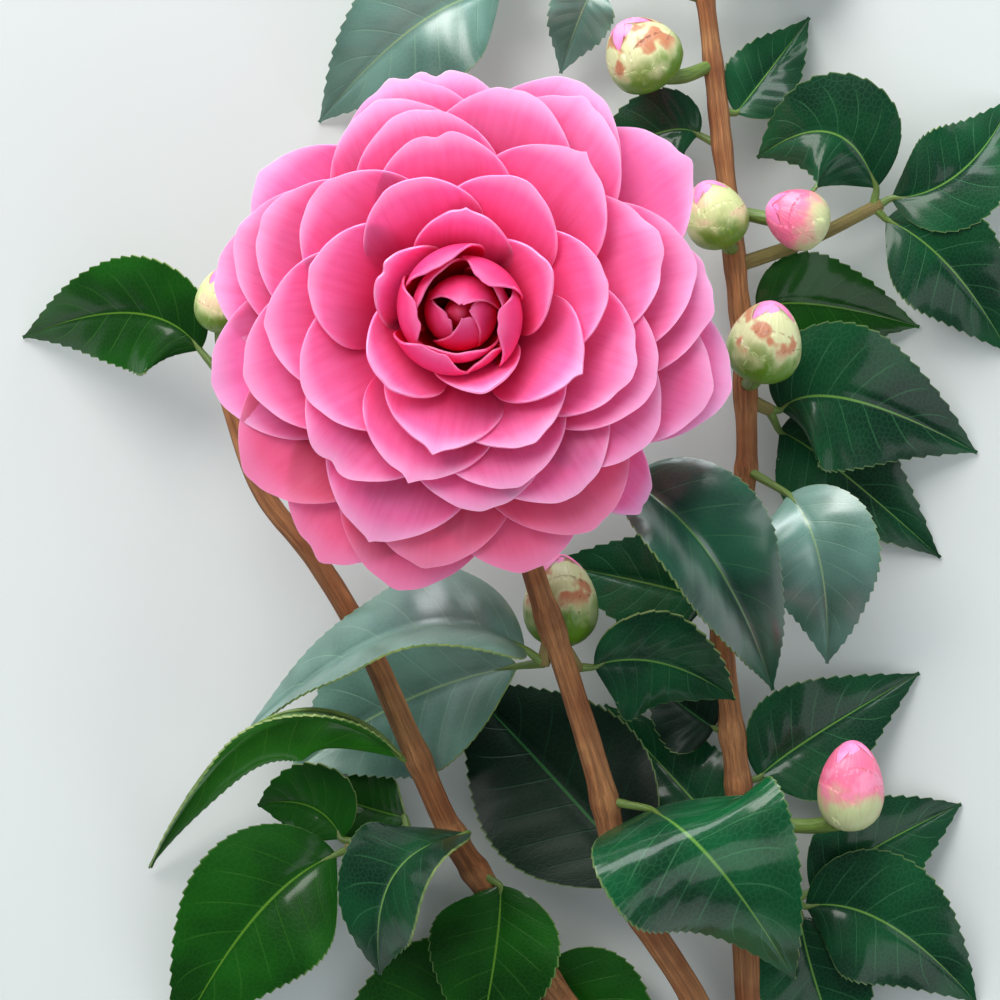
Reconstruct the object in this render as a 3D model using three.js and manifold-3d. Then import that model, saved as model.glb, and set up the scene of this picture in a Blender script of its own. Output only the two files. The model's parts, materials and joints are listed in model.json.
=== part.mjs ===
// A cut camellia branch in bloom, lying on its back with the flower uppermost.
// Millimetres. +Z is up from the surface that it lies on, +Y runs from the cut end to the tips.
//
// One short main stem forks into three boughs. The flower sits on the tip of the middle one,
// and buds and glossy leaves spring from all three. Every bough, bud and spray of leaves is
// a solid of its own, and starts a hair's breadth clear of what carries it.

import * as THREE from "three";
import { mergeVertices } from "three/addons/utils/BufferGeometryUtils.js";
import Module from "manifold-3d";

const wasm = await Module();
wasm.setup();

// ---- Driving dimensions ----

const CLEAR = 0.3; // gap between a piece and what carries it
const WELD = 1e-4; // vertices closer than this are one

const CUT_Y = -152; // the flat cut across the main stem
const BLOOM_AT = [-7, 33.5]; // the flower's axis on the plan
const BLOOM_BASE_Z = 47; // height of the receptacle, where the petals spring
const BLOOM_RADIUS = 51; // reach of the furthest petals
const CROWN = 38; // from the receptacle to the rims round the heart
const CROWN_DROP = 22; // how far the outermost rims lie below those
const CROWN_CURVE = 2.2; // how much of that drop comes near the edge
const PETAL_THICK = 1.4;
const PETAL_FULL_WIDTH = 34;
const PETAL_WIDENING = 22; // the reach over which a petal comes to most of its full width
const PETAL_FLARE = [0.35, 2.25]; // the part of a sine wave that its outline follows, root to rim
const PETAL_ROUNDING = 0.15; // how far the corners of its rim fall back
const PETAL_BELLY = 0.62; // where its curve bends over, as a share of its reach
const BELLY_LIFT = 6; // how far the bend of a far petal stands above its rim
const BELLY_DIP = 28; // how much lower that is on a petal close to the heart
const BELLY_REACH = 18; // how quickly this fades outwards
const HEART_RADIUS = 8; // the reach of the closed petals in the middle
const CUP_EASE = 0.4; // how much flatter the outermost petals are across than the inner ones
const LEAF_THICK = 0.9;
const LEAF_TIP = 0.35; // half the width that a blade tapers to
const PETIOLE_RADIUS = 0.9; // a leaf's stalk where its blade starts
const STALK_RADIUS = 1.2; // a leaf's or a bud's stalk where it springs
const TWIG_SWELL = 1.2; // a twig's foot against its tip
const BUD_TAPER = 0.14; // how far a bud narrows from the middle to its tip

const COLOUR = {
  bark: 0x7a5231,
  petal: 0xf4668f,
  leaf: 0x1c5238,
  bud: 0x9aa35a,
};

// ---- Solids and meshes ----

// A closed geometry, joined at its seams, as a solid that can be joined and cut.
function solidOf(geometry) {
  geometry.deleteAttribute("normal");
  geometry.deleteAttribute("uv");
  const merged = mergeVertices(geometry, WELD);
  return new wasm.Manifold(
    new wasm.Mesh({
      numProp: 3,
      vertProperties: Float32Array.from(merged.attributes.position.array),
      triVerts: Uint32Array.from(merged.index.array),
    }),
  );
}

function geometryOf(solid) {
  const mesh = solid.getMesh();
  const geometry = new THREE.BufferGeometry();
  geometry.setAttribute("position", new THREE.BufferAttribute(mesh.vertProperties, 3));
  geometry.setIndex(new THREE.BufferAttribute(mesh.triVerts, 1));
  geometry.computeVertexNormals();
  return geometry;
}

function joined(solids) {
  return solids.reduce((whole, piece) => whole.add(piece));
}

// The largest body of a solid, without loose scraps or the walls of sealed hollows.
function mainBody(solid) {
  return solid.decompose().reduce((best, piece) => (piece.volume() > best.volume() ? piece : best));
}

// Moves every vertex of a geometry to the place that a rule gives it.
function reshaped(geometry, rule) {
  const position = geometry.attributes.position;
  for (let i = 0; i < position.count; i += 1) {
    const place = rule(position.getX(i), position.getY(i), position.getZ(i));
    position.setXYZ(i, place.x, place.y, place.z);
  }
  return geometry;
}

const vector = (point) => new THREE.Vector3(...point);
const routeThrough = (points) => new THREE.CatmullRomCurve3(points.map(vector), false, "catmullrom", 0.5);
const UP = new THREE.Vector3(0, 0, 1);

// Side and face directions for something that runs along a tangent, turned about it by roll.
function frameAlong(tangent, roll = 0) {
  const side = new THREE.Vector3().crossVectors(tangent, UP).normalize();
  const face = new THREE.Vector3().crossVectors(side, tangent).normalize();
  side.applyAxisAngle(tangent, roll);
  face.applyAxisAngle(tangent, roll);
  return { side, face };
}

// ---- Limbs ----

// A round limb along a curve, from one radius to another.
function limb(points, startRadius, endRadius, sides, steps) {
  const curve = routeThrough(points);
  return solidOf(
    reshaped(new THREE.CylinderGeometry(1, 1, 1, sides, steps), (x, y, z) => {
      const t = y + 0.5;
      const radius = startRadius + (endRadius - startRadius) * t;
      const { side, face } = frameAlong(curve.getTangent(t));
      return curve.getPoint(t).addScaledVector(side, x * radius).addScaledVector(face, z * radius);
    }),
  );
}

// The route of each limb is given by places that its middle line passes through.
const LIMBS = {
  main_stem: {
    points: [[51, -156, 4.6], [51, -145, 4.6], [49, -129, 6.5]],
    radius: [4.3, 3.8],
    steps: 4,
  },
  bloom_stem: {
    points: [
      [49, -131, 6.5], [43, -110.5, 10], [36.5, -94, 15], [24, -73, 22], [18.5, -52, 28],
      [14, -37, 33], [9, -22, 37], [4.5, -8, 39], [-1, 10, 38.5], [-5.5, 25, 37.5], [-7, 33.2, 40.5],
      [-7, 33.5, 44.5],
    ],
    radius: [2.8, 1.7],
    steps: 16,
  },
  left_stem: {
    points: [
      [49, -131.5, 6.5], [28.5, -112.5, 9], [11.5, -94.5, 11], [-3, -72.5, 14], [-9.5, -62, 16],
      [-17, -45, 19], [-24.5, -28, 22], [-34.5, -11, 24], [-44, 1, 25], [-50, 17, 26], [-52, 27, 27],
    ],
    radius: [2.9, 1.7],
    steps: 11,
  },
  right_stem: {
    points: [
      [49, -131.5, 6.5], [48, -110, 8.5], [47, -94.5, 9], [46, -72, 10], [45, -53, 11],
      [42.5, -34, 12], [42, -19, 13], [45.5, -2, 14], [46.5, 13, 15], [45, 37.5, 15],
      [42, 66, 14], [39, 92.5, 13], [37.5, 102, 13],
    ],
    radius: [2.8, 1.6],
    steps: 12,
  },
};
const LIMB_SIDES = 8;
const TWIG_SIDES = 6;

function limbSolid(name, grow = 0) {
  const { points, radius, steps } = LIMBS[name];
  return limb(points, radius[0] + grow, radius[1] + grow, LIMB_SIDES, steps);
}

// A place on a limb's middle line, as a share of the way along its route.
function placeOn(name, share) {
  return routeThrough(LIMBS[name].points).getPoint(share).toArray();
}

// Everything past the cut is taken off square, which leaves the flat cut face.
function beyondTheCut() {
  const size = 40;
  const block = new THREE.BoxGeometry(size, size, size);
  block.translate(LIMBS.main_stem.points[0][0], CUT_Y - size / 2, 0);
  return solidOf(block);
}

// ---- Leaves ----

const BROADEST = 0.8; // the power that moves a blade's broadest place down from its middle

// Half the width of a blade at a share of its length: broadest low down, with a drawn-out tip.
function bladeHalfWidth(width, broadest, v) {
  return Math.max(LEAF_TIP, (width / 2) * Math.sin(Math.PI * v ** broadest));
}

// One leaf in a single body: a bar of a stalk from its foot to the blade's base, and then the blade,
// whose midrib passes over a given place halfway and comes down to its tip.
function leafSolid(foot, leaf) {
  const { base, over, tip, width, roll = [0, 0], fold = 0.3, broadest = BROADEST, cells = [2, 5] } = leaf;
  const start = vector(base);
  const end = vector(tip);
  const control = vector(over).multiplyScalar(2);
  control.addScaledVector(start, -0.5).addScaledVector(end, -0.5);
  const midrib = new THREE.QuadraticBezierCurve3(start, control, end);
  const [across, along] = cells;
  const rows = along + 1;
  return solidOf(
    reshaped(new THREE.BoxGeometry(2, rows, 1, across, rows, 1), (u, y, w) => {
      const v = (y + rows / 2 - 1) / along;
      const turn = THREE.MathUtils.degToRad(roll[0] + (roll[1] - roll[0]) * Math.max(v, 0));
      const { side, face } = frameAlong(midrib.getTangent(Math.max(v, 0)), turn);
      if (v < -WELD) {
        const stalk = frameAlong(start.clone().sub(vector(foot)).normalize());
        const way = Math.sign(stalk.side.dot(side)); // so that the stalk isn't wrung where it turns
        const corner = vector(foot).addScaledVector(stalk.side, way * u * STALK_RADIUS);
        return corner.addScaledVector(stalk.face, way * w * 2 * STALK_RADIUS);
      }
      const atBase = v < 0.5 / along;
      const half = atBase ? PETIOLE_RADIUS : bladeHalfWidth(width, broadest, v);
      const thick = atBase ? 2 * PETIOLE_RADIUS : LEAF_THICK;
      const folded = atBase ? 0 : half * fold * (Math.abs(u) - 0.5 * u * u);
      const spot = midrib.getPoint(Math.max(v, 0)).addScaledVector(side, u * half);
      return spot.addScaledVector(face, folded + w * thick);
    }),
  );
}

const LEAF_FROM = 0.95; // where a leaf springs, as a share of its twig's length

// A spray: its twig, if it has one, and its leaves, all grown together and clear of the bough.
function spray({ bough, at, twig = [], leaves }) {
  const foot = placeOn(bough, at);
  const route = [foot, ...twig];
  const pieces = [];
  if (twig.length > 0) {
    pieces.push(limb(route, STALK_RADIUS * TWIG_SWELL, STALK_RADIUS, TWIG_SIDES, 2 * twig.length));
  }
  const along = routeThrough(twig.length > 0 ? route : [foot, foot]);
  for (const leaf of leaves) {
    pieces.push(leafSolid(along.getPoint(leaf.from ?? LEAF_FROM).toArray(), leaf));
  }
  return mainBody(joined(pieces).subtract(limbSolid(bough, CLEAR)));
}

// Sprays and single leaves, by the bough that they spring from and the share of the way along it.
// The broad leaves in front have more facets than those that lie under them.
const BROAD = [4, 6];
const SPRAYS = {
  spray_left_shoulder: {
    bough: "bloom_stem", at: 0.535, twig: [[8, -30.5, 34.5]],
    leaves: [
      {
        base: [4.5, -27.5, 37], over: [-18.5, -24.5, 40], tip: [-48.2, -44, 11],
        width: 27, roll: [60, 60], fold: 0.6, broadest: 0.65, cells: BROAD,
      },
      {
        base: [3, -31, 28], over: [-19, -38.5, 8], tip: [-40, -52.3, 4],
        width: 30, roll: [8, 12], cells: BROAD,
      },
    ],
  },
  spray_right_shoulder: {
    bough: "bloom_stem", at: 0.535, twig: [[14.5, -31.5, 32]],
    leaves: [
      {
        base: [17.5, -31, 31], over: [30, -30.5, 28], tip: [44, -37.5, 20],
        width: 26, roll: [36, 40], broadest: 0.7, cells: BROAD,
      },
    ],
  },
  leaf_front: {
    bough: "bloom_stem", at: 0.345,
    leaves: [
      {
        base: [28, -57.5, 30], over: [39.3, -66.5, 41.5], tip: [55.5, -90.5, 15],
        width: 40, roll: [-61, 36], fold: -0.1, broadest: 0.65, cells: BROAD,
      },
    ],
  },
  leaf_behind: {
    bough: "bloom_stem", at: 0.255,
    leaves: [
      { base: [27.5, -72, 17], over: [10, -52.5, 10], tip: [-7, -34.6, 6], width: 34, cells: BROAD },
    ],
  },
  leaf_arching: {
    bough: "left_stem", at: 0.48,
    leaves: [
      {
        base: [-18.4, -48.4, 20], over: [-42.9, -41.4, 28], tip: [-66.6, -70, 3],
        width: 15, roll: [-56, -56], fold: 1.3, cells: BROAD,
      },
    ],
  },
  spray_lower_left: {
    bough: "left_stem", at: 0.39, twig: [[-19, -64, 14], [-29, -66, 12]],
    leaves: [
      {
        base: [-31, -67, 11.5], over: [-46.5, -79, 13], tip: [-62, -104, 1],
        width: 29,
      },
      {
        base: [-30, -64, 12], over: [-36, -58, 11], tip: [-46, -58, 6],
        width: 19, roll: [-20, -20], from: 0.8,
      },
      { base: [-18, -60, 11], over: [-25, -58.5, 5], tip: [-36, -55, 1], width: 15, from: 0.4 },
    ],
  },
  leaf_left_front: {
    bough: "left_stem", at: 0.385,
    leaves: [
      {
        base: [-6, -62.5, 21], over: [-20, -70, 27], tip: [-22.7, -89.7, 12],
        width: 28, roll: [83, 20], cells: BROAD,
      },
    ],
  },
  leaf_low_centre: {
    bough: "left_stem", at: 0.32,
    leaves: [
      {
        base: [0, -72.5, 17], over: [-1, -86, 16], tip: [-5, -108, 9],
        width: 25, roll: [15, 10],
      },
    ],
  },
  spray_fork: {
    bough: "left_stem", at: 0.22, twig: [[6, -90, 8]],
    leaves: [
      { base: [8, -90, 8], over: [17, -99, 5.5], tip: [28, -123, 1], width: 25 },
      { base: [2, -92, 7], over: [-14, -98, 4], tip: [-36, -113, 1], width: 27 },
    ],
  },
  spray_under_bloom: {
    bough: "bloom_stem", at: 0.72, twig: [[14, 3, 41], [22, 5, 41]],
    leaves: [
      {
        base: [24, 3.7, 41], over: [39.5, -11.4, 43], tip: [51.4, -35.8, 15],
        width: 23, roll: [-24, -20], fold: 1.1, broadest: 0.7, cells: BROAD,
      },
    ],
  },
  leaf_right_hanging: {
    bough: "right_stem", at: 0.63,
    leaves: [
      {
        base: [54, 1, 23], over: [59.5, -11, 28], tip: [62, -31, 8],
        width: 23, roll: [0, 10], cells: BROAD,
      },
    ],
  },
  spray_right_middle: {
    bough: "right_stem", at: 0.69, twig: [[51, 17, 12]],
    leaves: [
      { base: [53, 17, 11], over: [66, 19, 13], tip: [91, 9, 1], width: 28 },
      { base: [53, 13, 8], over: [64, 6, 6], tip: [84, -11, 1], width: 22 },
    ],
  },
  leaf_right_upper: {
    bough: "right_stem", at: 0.745,
    leaves: [
      { base: [48.5, 36, 12], over: [60, 37, 10], tip: [80, 33, 1], width: 19 },
    ],
  },
  spray_upper_right: {
    bough: "right_stem", at: 0.77, twig: [[58, 49, 13], [72, 56, 12]],
    leaves: [
      { base: [71, 59, 13], over: [62, 69, 19], tip: [48.5, 64.5, 14], width: 23 },
      { base: [74, 57, 12], over: [87, 62, 13], tip: [98, 77, 1], width: 19 },
      { base: [73, 53, 12], over: [85, 44, 12], tip: [97, 28, 1], width: 21 },
    ],
  },
  leaf_upper_left: {
    bough: "right_stem", at: 0.835,
    leaves: [
      { base: [37.5, 69, 12], over: [29, 69, 12], tip: [14, 61, 3], width: 16 },
    ],
  },
  leaf_upper_right: {
    bough: "right_stem", at: 0.855,
    leaves: [
      { base: [44.5, 73, 13], over: [50, 80, 10], tip: [59, 92, 1], width: 14 },
    ],
  },
  spray_tip: {
    bough: "right_stem", at: 0.97, twig: [[37.5, 107, 12.5]],
    leaves: [
      { base: [40, 107, 12.5], over: [53, 106, 13], tip: [70, 113, 1], width: 19 },
      { base: [37, 110, 12.5], over: [36, 121, 14], tip: [29, 139, 1], width: 19 },
    ],
  },
  spray_top_left: {
    bough: "right_stem", at: 0.93, twig: [[22, 99, 14], [3, 97, 14]],
    leaves: [
      { base: [0, 96, 14], over: [-16, 89, 18], tip: [-34.5, 72, 1], width: 25 },
      { base: [1, 99, 14], over: [-7, 107, 16], tip: [-23, 121, 1], width: 20 },
      { base: [18, 97, 14], over: [15, 91, 14], tip: [11.5, 81, 6], width: 12, from: 0.5 },
    ],
  },
  leaf_far_left: {
    bough: "left_stem", at: 0.95,
    leaves: [
      { base: [-56, 28, 25], over: [-69, 35, 21], tip: [-91, 31, 1], width: 22, roll: [-20, -5] },
    ],
  },
  spray_lower_right: {
    bough: "right_stem", at: 0.235, twig: [[56, -76, 9]],
    leaves: [
      { base: [58, -77, 9], over: [73, -80, 11], tip: [91, -96, 1], width: 25 },
      { base: [57, -79, 8], over: [60, -92, 8], tip: [68, -114, 1], width: 22 },
      { base: [59, -74, 9], over: [71, -66, 8], tip: [88, -58, 1], width: 20 },
    ],
  },
  leaf_right_low: {
    bough: "right_stem", at: 0.33,
    leaves: [
      { base: [49, -52.5, 10.5], over: [59, -45, 9], tip: [80, -33, 1], width: 22 },
    ],
  },
  leaf_between: {
    bough: "right_stem", at: 0.37,
    leaves: [
      { base: [40.5, -43, 11.5], over: [36, -40, 12], tip: [27, -33, 6], width: 16 },
    ],
  },
  leaf_between_low: {
    bough: "right_stem", at: 0.29,
    leaves: [
      { base: [42, -63, 9], over: [34, -54, 7], tip: [20, -39, 1], width: 20 },
    ],
  },
  leaf_under_bloom: {
    bough: "right_stem", at: 0.5,
    leaves: [
      { base: [39, -19, 12], over: [29, -16, 12], tip: [9, -12, 1], width: 20 },
    ],
  },
};

// ---- Buds ----

const STALK_SUNK = 2; // how far a stalk reaches into its bud

// An egg-shaped bud from its base to its tip, on a short stalk that starts clear of its bough.
function bud({ bough, at, base, tip, width }) {
  const start = vector(base);
  const axis = vector(tip).sub(start);
  const length = axis.length();
  axis.normalize();
  const { side, face } = frameAlong(axis);
  const egg = reshaped(new THREE.SphereGeometry(1, 8, 6), (x, y, z) => {
    const radius = (width / 2) * (1 - BUD_TAPER * y);
    const spot = start.clone().addScaledVector(axis, (length * (y + 1)) / 2);
    return spot.addScaledVector(side, x * radius).addScaledVector(face, z * radius);
  });
  const foot = vector(placeOn(bough, at));
  const bend = foot.clone().lerp(start, 0.6);
  const seat = start.clone().addScaledVector(axis, STALK_SUNK);
  const route = [foot, bend, seat].map((spot) => spot.toArray());
  const stalk = limb(route, STALK_RADIUS, STALK_RADIUS, TWIG_SIDES, 3);
  return mainBody(solidOf(egg).add(stalk).subtract(limbSolid(bough, CLEAR)));
}

const BUDS = {
  bud_behind_stem: {
    bough: "bloom_stem", at: 0.55,
    base: [11.5, -27.5, 29], tip: [11, -10, 28], width: 13.5,
  },
  bud_top: {
    bough: "right_stem", at: 0.88,
    base: [30.5, 78, 21], tip: [22.5, 89, 26], width: 14,
  },
  bud_upper: {
    bough: "right_stem", at: 0.78,
    base: [42.5, 47.5, 20], tip: [38, 59.5, 24], width: 11.5,
  },
  bud_middle: {
    bough: "right_stem", at: 0.7,
    base: [48, 22, 24], tip: [51, 37, 28], width: 13.5,
  },
  bud_pink_upper: {
    bough: "right_stem", at: 0.8,
    base: [61, 50.5, 21], tip: [50, 55, 25], width: 11,
  },
  bud_pink_low: {
    bough: "right_stem", at: 0.3,
    base: [65.5, -62, 20], tip: [66, -45, 24], width: 12,
  },
  bud_left_tip: {
    bough: "left_stem", at: 0.985,
    base: [-51.5, 31, 31], tip: [-51, 43, 34], width: 10.5,
  },
};

// ---- The flower ----

// Petals from the heart outwards, ring by ring: how far each tip lies from the axis, at what angle.
const RINGS = [
  [[11.3, 111], [9.6, 58], [11.3, 357], [10.8, 245], [10.0, 184]],
  [[17.8, 87], [17.5, 26], [14.8, 289], [16.0, 153], [18.8, 217]],
  [[25.4, 115], [25.8, 65], [26.6, 12], [23.2, 333], [24.6, 259], [27.8, 164]],
  [[32.6, 98], [35.3, 52], [32.6, 342], [26.4, 299], [30.6, 253], [31.3, 208], [35.0, 184], [33.8, 141]],
  [[37.4, 104], [41.6, 76], [38.0, 20], [37.1, 340], [32.6, 288], [36.5, 229], [40.5, 197], [39.6, 155]],
  [[40.9, 112], [44.5, 59], [43.2, 13], [41.1, 327], [38.7, 303], [35.6, 277], [43.2, 248], [42.9, 161]],
  [[43.8, 106], [47.4, 62], [45.8, 5], [47.4, 342], [46.1, 262], [48.5, 218], [46.8, 196], [44.2, 145]],
  [[44.7, 96], [49.8, 36], [50.7, 345], [48.1, 286], [45.6, 303], [51.0, 240], [51.0, 257], [45.2, 170]],
];

const HEART_ROOT = [3, 10]; // where the petals of the heart spring: distance from the axis, and height
const HEART_BEND_Z = 34; // the height at which they bend in
const HEART_BULGE = 5.5; // how far they bulge there
const HEART_LEAN = 5; // how far their rims lean in
const INNER_ROOT = [3, 8]; // the root of the petals next to the heart
const OUTER_ROOT = [7, 3]; // the root of the outermost petals

// A petal's middle line in the plane of the axis: out from the receptacle, up, and over to the tip.
// The petals of the heart lean in over it.
function petalLine(radius, share) {
  if (share === 0) {
    return [HEART_ROOT, [radius + HEART_BULGE, HEART_BEND_Z], [radius - HEART_LEAN, CROWN]];
  }
  const root = INNER_ROOT.map((inner, index) => inner + (OUTER_ROOT[index] - inner) * share);
  const tipHeight = CROWN - CROWN_DROP * (radius / BLOOM_RADIUS) ** CROWN_CURVE;
  const swell = BELLY_LIFT - BELLY_DIP * Math.exp(-(radius - HEART_RADIUS) / BELLY_REACH);
  return [root, [radius * PETAL_BELLY, tipHeight + swell], [radius, tipHeight]];
}

// A round-tipped petal, from where it leaves the solid middle of the flower to its rim.
function petal([radius, degrees], ring) {
  const share = ring / (RINGS.length - 1);
  const line = petalLine(radius, share);
  const route = new THREE.QuadraticBezierCurve(...line.map(([r, z]) => new THREE.Vector2(r, z)));
  const width = PETAL_FULL_WIDTH * (1 - Math.exp(-radius / PETAL_WIDENING));
  const angle = THREE.MathUtils.degToRad(degrees);
  const outward = new THREE.Vector3(Math.cos(angle), Math.sin(angle), 0);
  const side = new THREE.Vector3(Math.sin(angle), -Math.cos(angle), 0);
  const first = ring < 6 ? 0.55 : 0.45; // the petals stand out of the middle from here on
  const across = ring < 5 ? 3 : 4;
  const along = ring === 0 || ring > 4 ? 2 : 1;
  return solidOf(
    reshaped(new THREE.BoxGeometry(2, 1, 1, across, along, 1), (u, y, w) => {
      const v = first + (1 - first) * (y + 0.5);
      const t = v - PETAL_ROUNDING * u * u * v * v;
      const flare = PETAL_FLARE[0] + (PETAL_FLARE[1] - PETAL_FLARE[0]) * v;
      const x = (u * width * Math.sin(flare)) / 2;
      const spot = route.getPoint(t);
      const slope = route.getTangent(t);
      const cup = (x * x * (1 - CUP_EASE * share)) / (2 * (radius + 2));
      const rise = cup + w * PETAL_THICK;
      const place = outward.clone().multiplyScalar(spot.x - slope.y * rise);
      return place.addScaledVector(UP, spot.y + slope.x * rise).addScaledVector(side, x);
    }),
  );
}

// The solid middle that the petals stand out of, from the calyx up to the folded heart.
function bloomMiddle() {
  const profile = [
    [0, -2], [4, -2], [8, 1], [11, 4], [24, 11], [34, 17], [36, 20.5], [30, 24], [22, 26],
    [14, 24], [8, 24], [7, 29], [4.5, 33], [0, 34.5],
  ];
  const lathe = new THREE.LatheGeometry(profile.map(([r, z]) => new THREE.Vector2(r, z)), 20);
  return solidOf(lathe.rotateX(Math.PI / 2));
}

function bloom() {
  const petals = RINGS.flatMap((ring, index) => ring.map((tip) => petal(tip, index)));
  return mainBody(joined([bloomMiddle(), ...petals])).translate([...BLOOM_AT, BLOOM_BASE_Z]);
}

// ---- The branch ----

const branch = new THREE.Group();

function place(name, solid, colour, roughness) {
  const material = new THREE.MeshStandardMaterial({ color: colour, roughness, metalness: 0 });
  const mesh = new THREE.Mesh(geometryOf(solid), material);
  mesh.name = name;
  branch.add(mesh);
}

const mainStem = limbSolid("main_stem").subtract(beyondTheCut());
const bloomStem = limbSolid("bloom_stem").subtract(limbSolid("main_stem", CLEAR));
const leftStem = limbSolid("left_stem")
  .subtract(limbSolid("main_stem", CLEAR))
  .subtract(limbSolid("bloom_stem", CLEAR));
const rightStem = limbSolid("right_stem")
  .subtract(limbSolid("main_stem", CLEAR))
  .subtract(limbSolid("bloom_stem", CLEAR))
  .subtract(limbSolid("left_stem", CLEAR));

place("main_stem", mainStem, COLOUR.bark, 0.8);
place("bloom_stem", mainBody(bloomStem), COLOUR.bark, 0.8);
place("left_stem", mainBody(leftStem), COLOUR.bark, 0.8);
place("right_stem", mainBody(rightStem), COLOUR.bark, 0.8);
place("bloom", bloom(), COLOUR.petal, 0.5);
for (const [name, sizes] of Object.entries(BUDS)) {
  place(name, bud(sizes), COLOUR.bud, 0.45);
}
for (const [name, sizes] of Object.entries(SPRAYS)) {
  place(name, spray(sizes), COLOUR.leaf, 0.3);
}

// The origin is under the middle of the branch, on the surface that it lies on.
const box = new THREE.Box3().setFromObject(branch);
const middle = box.getCenter(new THREE.Vector3());
branch.position.set(-middle.x, -middle.y, -box.min.z);

export default branch;
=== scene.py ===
# %% [markdown]
# # A cut camellia branch
#
# This file dresses a branch of camellia in bloom, leaf by leaf and petal by petal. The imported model
# gives the frame: where the branch lies, how long its boughs are, and how far its leaves reach.
# Each leaf, petal and bud is built here again, thin and finely shaped, on the same courses.

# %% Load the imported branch
import json
import math
import random

import bmesh
import bpy
from mathutils import Matrix, Vector, noise


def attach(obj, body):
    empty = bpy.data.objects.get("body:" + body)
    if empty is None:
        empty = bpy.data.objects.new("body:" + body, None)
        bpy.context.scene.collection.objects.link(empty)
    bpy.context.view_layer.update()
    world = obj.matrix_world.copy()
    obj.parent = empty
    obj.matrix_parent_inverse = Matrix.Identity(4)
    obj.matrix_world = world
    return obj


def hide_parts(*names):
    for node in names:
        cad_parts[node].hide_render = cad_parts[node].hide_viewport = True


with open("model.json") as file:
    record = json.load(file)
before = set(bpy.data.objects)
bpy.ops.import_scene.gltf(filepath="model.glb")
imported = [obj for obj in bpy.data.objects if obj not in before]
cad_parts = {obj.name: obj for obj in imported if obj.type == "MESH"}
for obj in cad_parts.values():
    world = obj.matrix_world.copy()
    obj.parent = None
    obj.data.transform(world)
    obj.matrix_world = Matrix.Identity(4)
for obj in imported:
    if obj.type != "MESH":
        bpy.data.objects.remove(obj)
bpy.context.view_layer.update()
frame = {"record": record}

# %% [markdown]
# ## Measures
#
# The branch was laid out on a plan in millimetres, with the cut end at the bottom and the tips at the
# top. Blender works in metres. The flat cut has a known place in both, so the step between the two is
# enough to bring every place on the plan into the frame.

# %% Plan and frame
MM = 0.001
UP = Vector((0, 0, 1))
CUT_Y = -152
CUT_ON_PLAN = Vector((51, CUT_Y, 4.6))
PLAN_ORIGIN = CUT_ON_PLAN - Vector(frame["record"]["mounts"][0]["pos_m"]) / MM


def in_frame(place):
    """A place on the plan, in millimetres, as a place in the frame, in metres."""
    return (Vector(place) - PLAN_ORIGIN) * MM


print("the plan's origin lies at", tuple(round(c, 4) for c in in_frame((0, 0, 0))))

# %% [markdown]
# ## Where everything grows
#
# Four limbs carry the branch. A limb is given by places that its middle line passes through, and by
# its radius at each end. Leaves and buds name the bough that they spring from and how far along it.
# A leaf is given by three places on its midrib: the base of its blade, a place halfway, and its tip.

# %% The limbs
LIMBS = {
    "main_stem": dict(
        points=[(51, -156, 4.6), (51, -145, 4.6), (49, -129, 6.5)],
        radius=(4.3, 3.8),
    ),
    "bloom_stem": dict(
        points=[
            (49, -131, 6.5), (43, -110.5, 10), (36.5, -94, 15), (24, -73, 22), (18.5, -52, 28),
            (14, -37, 33), (9, -22, 37), (4.5, -8, 39), (-1, 10, 38.5), (-5.5, 25, 37.5), (-7, 33.2, 40.5),
            (-7, 33.5, 44.5),
        ],
        radius=(2.8, 1.7),
    ),
    "left_stem": dict(
        points=[
            (49, -131.5, 6.5), (28.5, -112.5, 9), (11.5, -94.5, 11), (-3, -72.5, 14), (-9.5, -62, 16),
            (-17, -45, 19), (-24.5, -28, 22), (-34.5, -11, 24), (-44, 1, 25), (-50, 17, 26), (-52, 27, 27),
        ],
        radius=(2.9, 1.7),
    ),
    "right_stem": dict(
        points=[
            (49, -131.5, 6.5), (48, -110, 8.5), (47, -94.5, 9), (46, -72, 10), (45, -53, 11),
            (42.5, -34, 12), (42, -19, 13), (45.5, -2, 14), (46.5, 13, 15), (45, 37.5, 15),
            (42, 66, 14), (39, 92.5, 13), (37.5, 102, 13),
        ],
        radius=(2.8, 1.6),
    ),
}
print(len(LIMBS), "limbs")

# %% [markdown]
# Leaves stand singly or in sprays on a thin side twig. `roll` turns a blade about its midrib at its
# base and at its tip, in degrees, and `fold` says how deep a valley it makes. `broadest` moves its
# widest place along it, and `spring` says how far along the twig its stalk starts. `look` picks the
# finish: most leaves are dark and glossy. The ones with light behind them are painted a fresher green,
# and the arching one a brighter green, for the light shining through them. Leaves in shadow are painted
# darker, as painted shade, and a few get a pale blue-grey body as a painted sheen from their wax.

# %% The leaves
def leaf_at(base, over, tip, width, **traits):
    """A leaf by three places on its midrib and its width, with the traits that set it apart."""
    return dict(base=base, over=over, tip=tip, width=width, **traits)


def spray_on(bough, at, *leaves, **twig):
    """Leaves that leave a bough at one place, on a side twig where its course is given."""
    return dict(bough=bough, at=at, leaves=leaves, **twig)


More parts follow.
